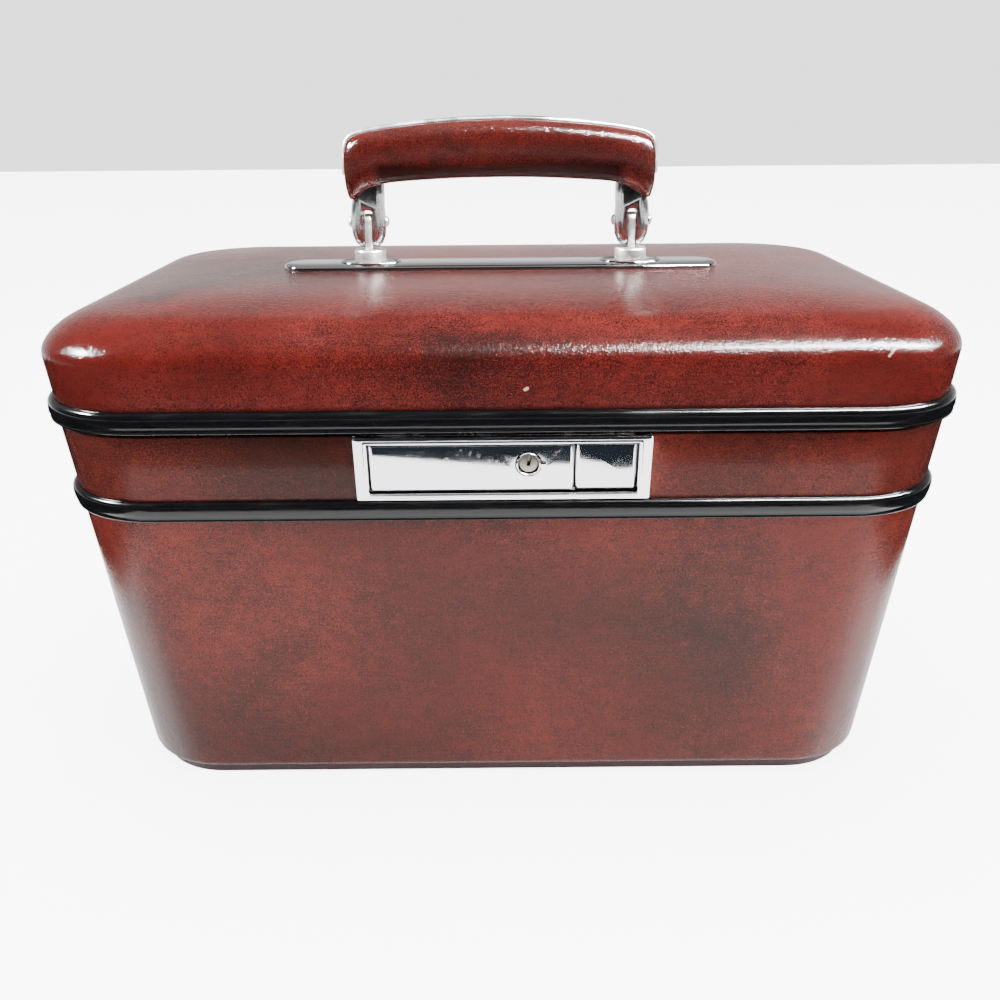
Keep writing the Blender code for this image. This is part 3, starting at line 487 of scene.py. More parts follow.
def loose(bm, name, matrix=None):
    """Object made of a bmesh; a dressed one is a piece, the others cut or join and are then removed."""
    bmesh.ops.recalc_face_normals(bm, faces=bm.faces)
    if matrix is not None:
        bmesh.ops.transform(bm, matrix=matrix, verts=bm.verts)
    mesh = bpy.data.meshes.new(name)
    bm.to_mesh(mesh)
    bm.free()
    obj = bpy.data.objects.new(name, mesh)
    bpy.context.scene.collection.objects.link(obj)
    return obj


def apply_modifiers(obj):
    """Replace the object's mesh by what its modifiers make of it."""
    graph = bpy.context.evaluated_depsgraph_get()
    mesh = bpy.data.meshes.new_from_object(obj.evaluated_get(graph))
    obj.modifiers.clear()
    obj.data = mesh
    return obj


def combine(obj, tool, operation="DIFFERENCE"):
    """Cut a tool from an object or join it on; the tool goes."""
    modifier = obj.modifiers.new("cut", "BOOLEAN")
    modifier.operation = operation
    modifier.object = tool
    modifier.solver = "EXACT"
    apply_modifiers(obj)
    bpy.data.objects.remove(tool)
    return obj


def cut(obj, bm, matrix=None):
    """Cut a shape from an object."""
    return combine(obj, loose(bm, "tool", matrix))


def soften(obj, width, segments=2, angle=30):
    """Round the edges that turn by more than an angle, in degrees."""
    modifier = obj.modifiers.new("round", "BEVEL")
    modifier.width = width
    modifier.segments = segments
    modifier.limit_method = "ANGLE"
    modifier.angle_limit = radians(angle)
    modifier.harden_normals = False
    return apply_modifiers(obj)


def dress(obj, body, material, nodes=(), sharp=40):
    """Shade, colour and mount a finished piece."""
    obj.data.shade_smooth()
    obj.data.set_sharp_from_angle(angle=radians(sharp))
    obj.data.materials.clear()
    obj.data.materials.append(material)
    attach(obj, body)
    if nodes:
        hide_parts(*nodes)
    return obj


def paint_node(name, material):
    """Give a carried-over CAD node its finished material."""
    slots = frame["nodes"][name].data.materials
    slots.clear()
    slots.append(material)


# ---------------- lock frame
LOCK_Z = 0.1461
LOCK_AT = tilted((0, -wall_y(LOCK_Z), LOCK_Z), TAPER)
HASP_AT = tilted(JOINTS["hasp_swing"]["pos_m"], TAPER)
KEY_AT = tilted(JOINTS["key_turn"]["pos_m"], TAPER)
PAN_HALF = (0.0526, 0.0109)
STRIKER_SPAN = (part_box("striker")[0].x - 0.0007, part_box("striker")[1].x + 0.0007)


# ---------------- case pieces
def build_body_cover(vinyl):
    """Tapered shell in vinyl, walls faintly crowned below the lower band."""
    edge, turn_in, crowned = 0.0035, 0.0009, 0.0009
    rings = [body_ring(BODY_LOW, -0.03), body_ring(BODY_LOW, -edge * 1.6)]
    for c, s in arc(1, 1, [90 * step / 8 for step in range(9)]):
        rings.append(body_ring(BODY_LOW + edge * (1 - c), -edge * (1 - s)))
    wall_low, wall_high = BODY_LOW + edge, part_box("lower_band")[0].z
    for step in range(1, 15):
        share = step / 14
        z = wall_low + (wall_high - wall_low) * share
        rings.append(body_ring(z, 0.0, crowned * sin(pi * share) ** 0.8))
    rings += [body_ring(z) for z in (0.135, 0.145, BODY_TOP - turn_in)]
    rings += [body_ring(BODY_TOP - turn_in * 0.3, -turn_in * 0.3), body_ring(BODY_TOP, -turn_in)]
    rings += [body_ring(BODY_TOP, -WALL + 0.0002), body_ring(BODY_TOP - 0.0006, -WALL)]
    rings += [body_ring(z, -WALL) for z in (0.1, 0.05, BODY_LOW + WALL + 0.004)]
    rings.append(body_ring(BODY_LOW + WALL, -WALL - 0.004))
    shell = loose(loft(rings), "body_cover")
    half_x, half_z = PAN_HALF[0] + GAP, PAN_HALF[1] + GAP
    cut(shell, box((-half_x, half_x), (-0.02, 0.02), (-half_z, half_z)), LOCK_AT)
    dress(shell, "body", vinyl, ["body_shell"])


def build_lid_cover(vinyl):
    """Lid: wall leaning out a little, rounded shoulder, faint crown."""
    rings = [rim_ring(LID_LOW), rim_ring(0.164), rim_ring(LEAN_FROM), rim_ring(LEAN_FROM + 0.0004, 0.00002)]
    for share in (0.1, 0.3, 0.5, 0.7, 0.9):
        rings.append(rim_ring(LEAN_FROM + (BULGE_Z - LEAN_FROM) * share, BULGE_OUT * share))
    rings += [lid_ring(z, inset) for z, inset, _ in dome(0.0, LID_TOP, 18)]
    rings += [lid_ring(LID_TOP, inset) for inset in (0.09, 0.105)]
    inner = [rim_ring(LID_LOW, -WALL), rim_ring(LEAN_FROM, -WALL)]
    inner += [lid_ring(z, inset) for z, inset, _ in dome(WALL, LID_TOP - WALL, 6)]
    dress(loose(loft(rings[::-1] + inner), "lid_cover"), "lid", vinyl, ["lid_shell"])


def band_section(height):
    """Trim section: a rounded bead over a lower lip that leans in, as (offset, height)."""
    bead = arc(0.0018, 0.0028, (80, 62, 44, 26, 10), (0.0008, height - 0.003))
    lip = [(0.0026, height * 0.5), (0.00258, height * 0.36), (0.00248, height * 0.3),
           (0.002, height * 0.09), (0.0022, height * 0.05), (0.0021, 0.0001), (0.0018, 0.0), (GAP / 2, 0.0)]
    return [(GAP / 2, height), (0.0005, height)] + bead + lip


def build_band(name, node, ring, body, material):
    """Trim that follows the rings of the wall it is on."""
    low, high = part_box(node)
    rings = [ring(low.z + z, offset) for offset, z in band_section(high.z - low.z)]
    dress(loose(loft(rings, closed=True), name), body, material, [node], 50)


def build_foot(material):
    """Board that the case stands on, with its lower edge eased."""
    soft = 0.0008
    section = [(soft, 0.0), (soft * 0.3, soft * 0.3), (0.0, soft), (0.0, FOOT_TOP - soft), (0.0, FOOT_TOP)]
    foot = loose(loft(stack(section, FOOT_HIGH.x, FOOT_HIGH.y, BASE_RADIUS - FOOT_IN)), "foot_board")
    dress(foot, "body", material, ["foot_plate"])


def build_rims(steel):
    """Metal rim frames at the parting line: the body's has the closing tongue."""
    soft = 0.0003
    edge, tongue, inner = -0.0018, -0.0047, -0.0057
    low, top = BODY_TOP + GAP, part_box("body_frame")[1].z
    section = [(edge, low), (edge, PARTING_Z - soft), (edge - soft, PARTING_Z), (tongue, PARTING_Z),
               (tongue, top - soft), (tongue - soft, top), (inner + soft, top), (inner, top - soft),
               (inner, low)]
    rings = [[(x, y, z) for x, y, _ in body_ring(PARTING_Z, offset)] for offset, z in section]
    rim = loose(loft(rings, closed=True), "body_rim")
    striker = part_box("striker")
    notch = box(STRIKER_SPAN, (striker[0].y - 0.0015, striker[1].y + 0.005), (0.156, 0.17))
    cut(rim, notch)
    dress(rim, "body", steel, ["body_frame"])
    low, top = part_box("lid_frame")[0].z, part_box("lid_frame")[1].z
    edge, leg, thick = -0.0012, -WALL - GAP, 0.001
    section = [(edge, low + 0.0002), (edge, low + 0.0008), (leg, low + 0.0008), (leg, top),
               (leg - thick, top), (leg - thick, low + soft), (leg - 0.0007, low), (edge - soft, low)]
    rings = [rim_ring(z, offset) for offset, z in section]
    dress(loose(loft(rings, closed=True), "lid_rim"), "lid", steel, ["lid_frame"])


# ---------------- linings
QUILT_PITCH = 0.021
QUILT_POINTS = 560                           # round each ring of a lining


def quilt(u, v):
    """Height of diamond quilting, 0 on the stitched lines and 1 in the middle of a diamond."""
    a = (u + v) / QUILT_PITCH
    b = (u - v) / QUILT_PITCH
    return (abs(sin(pi * a)) * abs(sin(pi * b))) ** 0.45


def fine_ring(ring):
    """Points evenly spaced round a closed ring, and the ring's length."""
    closed = ring + [ring[0]]
    marks = [0.0]
    for a, b in zip(closed, closed[1:]):
        marks.append(marks[-1] + dist(a, b))
    result = []
    index = 0
    for step in range(QUILT_POINTS):
        goal = marks[-1] * step / QUILT_POINTS
        while marks[index + 1] < goal:
            index += 1
        share = (goal - marks[index]) / (marks[index + 1] - marks[index])
        result.append(Vector(closed[index]).lerp(Vector(closed[index + 1]), share))
    return result, marks[-1]


def ring_normals(ring):
    count = len(ring)
    normals = []
    for i in range(count):
        along = ring[(i + 1) % count] - ring[i - 1]
        normals.append(Vector((along.y, -along.x, 0)).normalized())
    return normals


def build_body_lining(satin):
    """Quilted wall lining, puffed inward, with a plain bottom and a flat place at the lock."""
    offset, thick, puffed_out = -WALL - GAP, 0.0012, 0.0016
    low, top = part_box("body_lining")[0].z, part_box("body_lining")[1].z
    levels = 74
    inner = []
    for number in range(levels + 1):
        z = low + thick + (top - low - thick) * number / levels
        ring, length = fine_ring(body_ring(z, offset - thick))
        around = round(length / QUILT_PITCH) * QUILT_PITCH / length
        edge = max(min(1.0, (top - z) / 0.006, (z - low) / 0.006), 0.0)
        puffed = []
        for i, (point, normal) in enumerate(zip(ring, ring_normals(ring))):
            puff = puffed_out * quilt(length * around * i / QUILT_POINTS, z) * edge
            if point.y < 0 and abs(point.x) < 0.062 and z > 0.126:
                puff = 0.0
            puffed.append(point - normal * puff)
        inner.append(puffed)
    outer = [fine_ring(body_ring(z, spread))[0]
             for z, spread in ((low, offset - 0.002), (low + 0.001, offset), (top, offset))]
    lining = loose(loft(outer + inner[::-1]), "body_quilt")
    half_x, clear = PAN_HALF[0] + 2 * GAP, PAN_HALF[1] + 2 * GAP
    cut(lining, box((-half_x, half_x), (0.0005, 0.0068), (-clear, 0.022)), LOCK_AT)
    dress(lining, "body", satin, ["body_lining"], 60)


def build_lid_lining(satin):
    """Quilted lid lining that follows the dome, flat behind the mirror."""
    low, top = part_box("lid_lining")[0].z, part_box("lid_lining")[1].z
    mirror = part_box("mirror_frame")[1]
    ceiling, clear = mirror.z + GAP, (mirror.x + 0.003, mirror.y + 0.003)
    depth = WALL + 0.0016
    outer = [fine_ring(rim_ring(low, -depth))[0]]
    outer += [fine_ring(lid_ring(z, inset))[0] for z, inset, _ in dome(depth, top, 6)]
    depth += 0.0012
    wall = [(low + (BULGE_Z - low) * step / 10, depth - BULGE_OUT * step / 10, 0.0) for step in range(10)]
    shoulder = dome(depth, ceiling, 20)[:21]
    roof = [(ceiling, SHOULDER_IN + 0.0016 * step, radians(90)) for step in range(1, 36)]
    inner, travel, before = [], 0.0, None
    for z, inset, turn in wall + shoulder + roof:
        at_wall = z < BULGE_Z and turn == 0.0
        points, length = fine_ring(rim_ring(z, -inset) if at_wall else lid_ring(z, inset))
        if before is not None:
            travel += dist((z, inset), before)
        before = (z, inset)
        edge = min(1.0, (z - low) / 0.004) * max(0.0, 1 - max(0.0, turn - 1.2) / 0.37)
        puffed = []
        for i, (point, normal) in enumerate(zip(points, ring_normals(points))):
            around = QUILT_PITCH * round(length / QUILT_PITCH) * i / QUILT_POINTS
            puff = 0.0014 * edge * quilt(around, travel)
            if turn > 1.5:
                outside = max((abs(point.x) - clear[0]) / 0.004, (abs(point.y) - clear[1]) / 0.004)
                puff = 0.0012 * min(max(outside, 0.0), 1.0) * quilt(point.x, point.y)
                puff *= min(max((inset - SHOULDER_IN) / 0.003, 0.0), 1.0)
            puffed.append(point - (normal * cos(turn) + Vector((0, 0, sin(turn)))) * puff)
        inner.append(puffed)
    quilted = loose(loft(outer[::-1] + inner), "lid_quilt")
    dress(quilted, "lid", satin, ["lid_lining"], 60)


def build_ledges(satin):
    """Padded ledges that carry the tray."""
    for side, _ in SIDES:
        ledge = loose(box(*zip(*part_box(f"tray_ledge_{side}"))), f"ledge_{side}")
        dress(soften(ledge, 0.0012, 3), "body", satin, [f"tray_ledge_{side}"])


def build_mirror(glass, chrome):
    """Bevelled glass in a rolled frame."""
    low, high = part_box("mirror")
    rings = []
    for inset, z in ((0.0, high.z), (0.0, low.z + 0.0008), (0.0045, low.z)):
        rings.append(level(z, plan(high.x - inset, high.y - inset, 0.012 - inset * 0.5, 10, (4, 4))))
    dress(loose(loft(rings), "mirror_glass"), "lid", glass, ["mirror"], 12)
    low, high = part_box("mirror_frame")
    section = [(0.0, 0.016, high.z), (0.0, 0.016, low.z + 0.0012), (0.0004, 0.0156, low.z + 0.0004),
               (0.0014, 0.015, low.z), (0.004, 0.012, low.z), (0.0055, 0.0108, low.z + 0.0003),
               (0.006, 0.01, low.z + 0.0009), (0.0037, 0.0123, low.z + 0.0009), (0.0037, 0.0123, high.z)]
    rings = [level(z, plan(high.x - inset, high.y - inset, radius, 10, (4, 4)))
             for inset, radius, z in section]
    dress(loose(loft(rings, closed=True), "mirror_surround"), "lid", chrome, ["mirror_frame"])


# ---------------- rear hinges
def path_normal(path, i):
    """Unit normal of an open path at its point i, on the left of its direction."""
    before, after = Vector(path[max(i - 1, 0)]), Vector(path[min(i + 1, len(path) - 1)])
    along = (after - before).normalized()
    return Vector((-along.y, along.x))


def strip(path, thickness):
    """Outline of sheet metal bent along a path."""
    left, right = [], []
    for i, point in enumerate(path):
        side = path_normal(path, i) * thickness / 2
        left.append(tuple(Vector(point) + side))
        right.append(tuple(Vector(point) - side))
    return left + right[::-1]


def curl(start, end, radius, steps=22):
    """Arc about the hinge pin, in degrees."""
    angles = [start + (end - start) * step / steps for step in range(steps + 1)]
    return arc(radius, radius, angles, (HINGE_Y, PARTING_Z))


def build_hinges(chrome, steel):
    """Left and right hinge: a pin, two leaves that curl round it, and two rivets in each leaf."""
    leaf, radius, half, knuckle = 0.001, 0.0018, 0.018, 0.006
    sit, head = GAP + leaf / 2, leaf + GAP
    body_flat = [(wall_y(z) + sit, z) for z in (0.1375, 0.1535)]
    body_full = body_flat + [(HINGE_Y - radius, 0.1575)] + curl(180, -80, radius)
    lid_flat = [(lid_wall_y(z) + sit + GAP, z) for z in (0.183, 0.1725)]
    lid_full = lid_flat + [(HINGE_Y - radius, 0.1692)] + curl(180, 440, radius)
    leaves = (("body", body_flat, body_full, ((-half, -knuckle - GAP), (knuckle + GAP, half))),
              ("lid", lid_flat, lid_full, ((-knuckle, knuckle),)))
    rivets = (("body", -TAPER, wall_y(0.1455), 0.1455), ("lid", -LEAN, lid_wall_y(0.178) + GAP, 0.178))
    cap = arc(0.0022, 0.001, range(0, 81, 20), (0.0, head))
    for side, _ in SIDES:
        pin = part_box(f"hinge_pin_{side}")
        centre = (pin[0].x + pin[1].x) / 2
        for owner, flat, full, spans in leaves:
            plate = loose(prism(strip(flat, leaf), centre - half, centre + half), f"hinge_{owner}_{side}")
            for x0, x1 in spans:
                roll = loose(prism(strip(full, leaf), centre + x0, centre + x1), "knuckle")
                combine(plate, roll, "UNION")
            soften(plate, 0.00022, 2, 50)
            dress(plate, owner, chrome, [f"hinge_{owner}_leaf_{side}"], 35)
        end = pin[1].x - centre
        profile = two_ended([(0.0011, end - 0.0004), (0.0009, end - 0.0001), (0.0004, end)])
        at = Matrix.Translation((centre, HINGE_Y, PARTING_Z))
        rod = loose(turned(profile, 24, "X"), f"hinge_rod_{side}", at)
        dress(rod, "body", steel, [f"hinge_pin_{side}"])
        for owner, lean, wall, height in rivets:
            for number, sign in ((1, -1), (2, 1)):
                name = f"{owner}_{side}_{number}"
                rivet = turned([(0.0011, -0.0028), (0.0011, head)] + cap, 24, "Y")
                at = tilted((centre + sign * 0.012, wall, height), lean)
                rivet = loose(rivet, f"rivet_cap_{name}", at)
                dress(rivet, owner, steel, [f"rivet_{name}"])


# ---------------- lock pieces
def build_bezel(chrome):
    """Stamped frame of the lock, leaning forward at its top, with a raised bead round its window."""
    low, lean = -0.0128, 0.044
    section = [(0.0533, 0.0128, -0.0003), (0.0533, 0.0128, -0.0016), (0.0531, 0.0126, -0.002),
               (0.0527, 0.0122, -0.0021), (0.0499, 0.0114, -0.0021), (0.0496, 0.0111, -0.0024),
               (0.0492, 0.0107, -0.0025), (0.0488, 0.0104, -0.0024), (0.0486, 0.0102, -0.002),
               (0.0486, 0.0102, -0.001), (0.0525, 0.012, -0.001), (0.0525, 0.012, -0.0003)]
    rings = []
    for half_x, half_z, depth in section:
        slope = lean if depth < -0.0012 else 0.0
        rings.append([(x, depth - slope * (z - low), z) for x, z in plan(half_x, half_z, 0.0006, 4, (6, 3))])
    bezel = loose(loft(rings, closed=True), "lock_surround", LOCK_AT)
    dress(bezel, "body", chrome, ["lock_bezel"], 35)


def crowned_plate(x0, x1, z0, z1, front):
    """Flat plate with a bevelled border whose edges are rounded over."""
    back, slope, drop = 0.0006, 0.0009, 0.00045
    centre, half_x = (x0 + x1) / 2, (x1 - x0) / 2
    mid, half_z = (z0 + z1) / 2, (z1 - z0) / 2
    section = [(0.0, back), (0.0, front + drop + 0.0002), (0.0002, front + drop),
               (slope * 0.8, front + 0.0001), (slope, front + 0.00003), (slope + 0.0003, front)]
    rings = []
    for inset, depth in section:
        ring = plan(half_x - inset, half_z - inset, max(0.0009 - inset * 0.5, 0.0003), 4, (18, 6))
        rings.append([(x + centre, depth, z + mid) for x, z in ring])
    return loft(rings)


def build_hasp(chrome, brass):
    """Long latch plate that swings on its lower edge, with its hook, key ring and key plug."""
    front = -0.0008
    hasp = loose(crowned_plate(-0.0479, 0.0254, -0.0005, 0.0185, front), "latch_plate", HASP_AT)
    cut(hasp, turned([(0.005, -0.01), (0.005, 0.01)], 40, "Y"), KEY_AT)
    hook = prism([(0.0002, 0.0125), (0.0028, 0.0136), (0.0031, 0.014), (0.0031, 0.0151), (0.0002, 0.0162)],
                 -0.015, -0.009)
    combine(hasp, soften(loose(hook, "hook", HASP_AT), 0.0002), "UNION")
    dress(hasp, "hasp", chrome, ["hasp_plate"], 30)

    section = [(0.0036, front + 0.002), (0.0036, front + 0.0002), (0.0037, front - 0.0002),
               (0.0038, front - 0.0005), (0.004, front - 0.0007), (0.0043, front - 0.0006),
               (0.0045, front - 0.0003), (0.0046, front + 0.0001), (0.0046, front + 0.0016),
               (0.0056, front + 0.0016), (0.0056, front + 0.002)]
    ring = loose(turned(section, 64, "Y", closed=True), "key_surround", KEY_AT)
    ear = prism([(0.0042, -0.0012), (0.0058, -0.001), (0.0063, -0.0005), (0.0063, 0.0005), (0.0058, 0.001),
                 (0.0042, 0.0012)], front - 0.0005, front + 0.0001, "Y")
    combine(ring, soften(loose(ear, "ear", KEY_AT), 0.00015), "UNION")
    dress(ring, "hasp", chrome, ["key_ring"], 40)

    profile = [(0.0034, front + 0.0024), (0.0034, front + 0.0006), (0.0032, front + 0.0003),
               (0.002, front + 0.0002)]
    plug = loose(turned(profile, 48, "Y"), "key_barrel", KEY_AT)
    slot = box((-0.00065, 0.00065), (-0.01, front + 0.002), (-0.0008, 0.005))
    cut(plug, slot, KEY_AT @ Matrix.Rotation(radians(8), 4, "Y"))
    cam = loose(box((-0.002, 0.002), (front + 0.0022, front + 0.0034), (-0.0055, 0.0025)), "cam", KEY_AT)
    combine(plug, soften(cam, 0.0002), "UNION")
    dress(plug, "key_plug", brass, ["key_plug"], 30)


def build_button(chrome):
    """Release slide to the right of the hasp."""
    plate = crowned_plate(0.0263, 0.048, -0.0095, 0.0095, -0.0009)
    dress(loose(plate, "push_slide", LOCK_AT), "release_button", chrome, ["release_button"], 30)


def build_lock_back(steel, dark_pan):
    """Pan behind the bezel, and the cover plate seen from inside the case."""
    depth, wall = 0.0065, 0.0008
    half_x, half_z = PAN_HALF
    pan = loose(box((-half_x, half_x), (0.0, depth), (-half_z, half_z)), "lock_tray", LOCK_AT)
    hollow = box((wall - half_x, half_x - wall), (-0.01, depth - wall), (wall - half_z, half_z - wall))
    combine(pan, soften(loose(hollow, "hollow", LOCK_AT), 0.0006, 3))
    cut(pan, box(STRIKER_SPAN, (0.0022, depth - wall), (0.008, 0.014)), LOCK_AT)
    dress(pan, "body", dark_pan, ["lock_pan"])
    cover = box((-0.0583, 0.0583), (depth + GAP, depth + 0.0013), (-0.0145, 0.0104))
    cover = soften(loose(cover, "lock_cover", LOCK_AT), 0.0004)
    dress(cover, "body", steel, ["lock_back_cover"])


# ---------------- carry handle
HANDLE_X = (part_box("handle_post_right")[0].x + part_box("handle_post_right")[1].x) / 2
PIN_Z = JOINTS["handle_fold"]["pos_m"][2]


def stadium(half_x, half_y, steps=14):
    """Rectangle with round ends."""
    turns = [180 * step / steps for step in range(steps + 1)]
    ends = ((half_x - half_y, -90), (half_y - half_x, 90))
    return [point for x, start in ends
            for point in arc(half_y, half_y, [start + turn for turn in turns], (x, 0.0))]


def build_handle_plate(chrome):
    """Long slim plate with rounded ends and a raised oval round each post."""
    low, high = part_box("handle_plate")
    section = [(0.0, low.z), (0.0, low.z + 0.0007), (0.0003, low.z + 0.0012), (0.001, low.z + 0.0017),
               (0.0022, high.z - 0.0001), (0.0032, high.z)]
    rings = [level(z, stadium(high.x - inset, high.y - inset)) for inset, z in section]
    dress(loose(loft(rings), "handle_base"), "lid", chrome, ["handle_plate"], 35)
    for side, sign in SIDES:
        rings = []
        for step in range(12):
            angle = 2 * pi * step / 12
            out, up = 0.0008 * cos(angle), 0.0006 * sin(angle)
            ring = arc(0.0128 + out, 0.0086 + out, [7.5 * i for i in range(48)])
            rings.append([(x + sign * HANDLE_X, y, high.z + up) for x, y in ring])
        dress(loose(loft(rings, closed=True), f"post_dish_{side}"), "lid", chrome)


def build_posts(worn):
    """Round posts, each with a drilled tab for the fork's rivet."""
    base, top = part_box("handle_plate")[1].z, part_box("handle_post_left")[1].z
    profile = [(0.0066, base + 0.0001), (0.0068, base + 0.0005), (0.0068, 0.2082), (0.0066, 0.2087),
               (0.0062, 0.209), (0.004, 0.2091)]
    outline = arc(0.0034, top - PIN_Z, range(0, 181, 15), (0.0, PIN_Z))
    outline += [(-0.0034, 0.2125), (-0.0046, 0.2095), (-0.0048, 0.207), (0.0048, 0.207), (0.0046, 0.2095),
                (0.0034, 0.2125)]
    for side, sign in SIDES:
        x = sign * HANDLE_X
        post = loose(turned(profile, 40), f"post_{side}", Matrix.Translation((x, 0, 0)))
        tab = loose(prism(outline, x - 0.0015, x + 0.0015), "tab")
        cut(tab, prism(circle(0.00175, 24, (0, PIN_Z)), x - 0.003, x + 0.003))
        combine(post, soften(tab, 0.0003, 2, 50), "UNION")
        dress(post, "lid", worn, [f"handle_post_{side}"], 35)


def build_forks(chrome, worn):
    """Cast forks that straddle the post tabs, and the rivets that pin them."""
    low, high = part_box("handle_fork_left")
    half_x, base = (high.x - low.x) / 2, low.z
    shoulder = 0.227                            # above it the fork runs up into the grip
    round_in, half_turn = 0.0036, 84             # how far the rounded front and back pull in
    outline = [(-0.0014, base + 0.0001), (0.0014, base + 0.0001), (0.004, base + 0.0003),
               (0.0058, base + 0.002), (0.0071, base + 0.005), (half_x, base + 0.009),
               (0.0074, 0.2245), (0.007, 0.228), (0.0062, 0.2305), (0.0046, 0.233), (0.0016, 0.2356),
               (-0.0036, 0.237), (-0.0074, 0.2378), (-0.0073, 0.231), (-0.0071, 0.226),
               (-half_x, base + 0.01), (-0.0071, base + 0.005), (-0.0058, base + 0.002),
               (-0.004, base + 0.0003)]
    slot_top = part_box("handle_post_left")[1].z + 0.0015
    slot = [(-0.00195, base - 0.003), (0.00195, base - 0.003), (0.00195, slot_top - 0.0008),
            (0.0012, slot_top - 0.0002), (0.0, slot_top), (-0.0012, slot_top - 0.0002),
            (-0.00195, slot_top - 0.0008)]
    reach = half_x - 0.0004
    head = arc(0.0022, 0.0012, (0, 25, 50, 75), (0.0, reach + 0.0004))
    profile = two_ended([(0.0015, reach), (0.0022, reach)] + head)
    for side, sign in SIDES:
        x = sign * HANDLE_X
        rings = []
        for angle in range(-half_turn, half_turn + 1, 12):
            inset = round_in * (1 - cos(radians(angle)))
            y = high.y * sin(radians(angle)) / sin(radians(half_turn))
            ring = []
            for p, z in outline:
                share = max(0.0, (shoulder - z) / (shoulder - base))
                ring.append((x + sign * p * (1 - inset / half_x), y, z + inset * share))
            rings.append(ring[::sign])
        fork = loose(loft(rings), f"fork_{side}")
        cut(fork, prism([(x + p, z) for p, z in slot], -0.006, 0.006, "Y"))
        soften(fork, 0.0003, 2, 50)
        dress(fork, "handle", chrome, [f"handle_fork_{side}"], 40)
        rod = loose(turned(profile, 28, "X"), f"fork_rivet_{side}", Matrix.Translation((x, 0, PIN_Z)))
        dress(rod, "handle", worn, [f"handle_pin_{side}"])


def smooth_between(points, x):
    """Value at x on a smooth curve through (x, value) points."""
    for i in range(len(points) - 1):
        if points[i][0] <= x <= points[i + 1][0]:
            break
    p0, p1, p2, p3 = (points[max(i - 1, 0)], points[i], points[i + 1], points[min(i + 2, len(points) - 1)])
    t = (x - p1[0]) / (p2[0] - p1[0])
    m1 = (p2[1] - p0[1]) / (p2[0] - p0[0]) * (p2[0] - p1[0])
    m2 = (p3[1] - p1[1]) / (p3[0] - p1[0]) * (p2[0] - p1[0])
    h = 2 * t ** 3 - 3 * t ** 2
    return (1 + h) * p1[1] + (t ** 3 - 2 * t ** 2 + t) * m1 - h * p2[1] + (t ** 3 - t ** 2) * m2


GRIP_TOP = [(0.0000, 0.2618), (0.016, 0.2614), (0.032, 0.2603), (0.046, 0.2588), (0.053, 0.2577),
            (0.058, 0.2568), (0.0615, 0.2556), (0.0638, 0.2536), (0.065, 0.25)]
GRIP_LOW = [(0.0000, 0.2385), (0.016, 0.2383), (0.032, 0.2376), (0.046, 0.2366), (0.053, 0.2353),
            (0.058, 0.2336), (0.0615, 0.2306), (0.0638, 0.2302), (0.065, 0.2345)]


def build_grip(vinyl, strap):
    """Arched grip with soft rounded sides and hanging end lobes, under a chrome strap."""
    half_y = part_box("grip")[1].y
    stations = [0.0648 * sin(radians(90 * i / 34)) for i in range(35)]
    spread = [-s for s in stations[:0:-1]] + stations
    around = [2 * pi * (i + 0.5) / 36 for i in range(36)]
    rings = []
    for x in spread:
        top, low = smooth_between(GRIP_TOP, abs(x)), smooth_between(GRIP_LOW, abs(x))
        narrow = 1.0 - 0.22 * max(0.0, (abs(x) - 0.056) / 0.0088) ** 2
        ring = []
        for angle in around:
            c, s = cos(angle), sin(angle)
            y = half_y * narrow * copysign(abs(c) ** 0.5, c)
            if s < 0:
                y *= 1.0 - 0.16 * s * s
            ring.append((x, y, (top + low) / 2 + (top - low) / 2 * copysign(abs(s) ** 0.72, s)))
        rings.append(ring)
    dress(loose(loft(rings), "grip_cover"), "handle", vinyl, ["grip"], 60)

    tail = [(0.0653, 0.244), (0.0652, 0.24)]
    spine = [(x, smooth_between(GRIP_TOP, abs(x))) for x in spread]
    spine = [(-x, z) for x, z in tail[::-1]] + spine + tail
    half, thick, lift = 0.0042, 0.0012, 0.0001
    section = [(-half, 0.0), (-half, thick * 0.45), (-half + 0.0004, thick * 0.8), (-half + 0.0011, thick),
               (0.0, thick * 1.08), (half - 0.0011, thick), (half - 0.0004, thick * 0.8),
               (half, thick * 0.45), (half, 0.0)]
    rings = []
    for i, (x, z) in enumerate(spine):
        normal = path_normal(spine, i)
        rings.append([(x + normal.x * (h + lift), w, z + normal.y * (h + lift)) for w, h in section])
    dress(loose(loft(rings), "grip_strap"), "handle", strap, ["grip_strip"], 50)


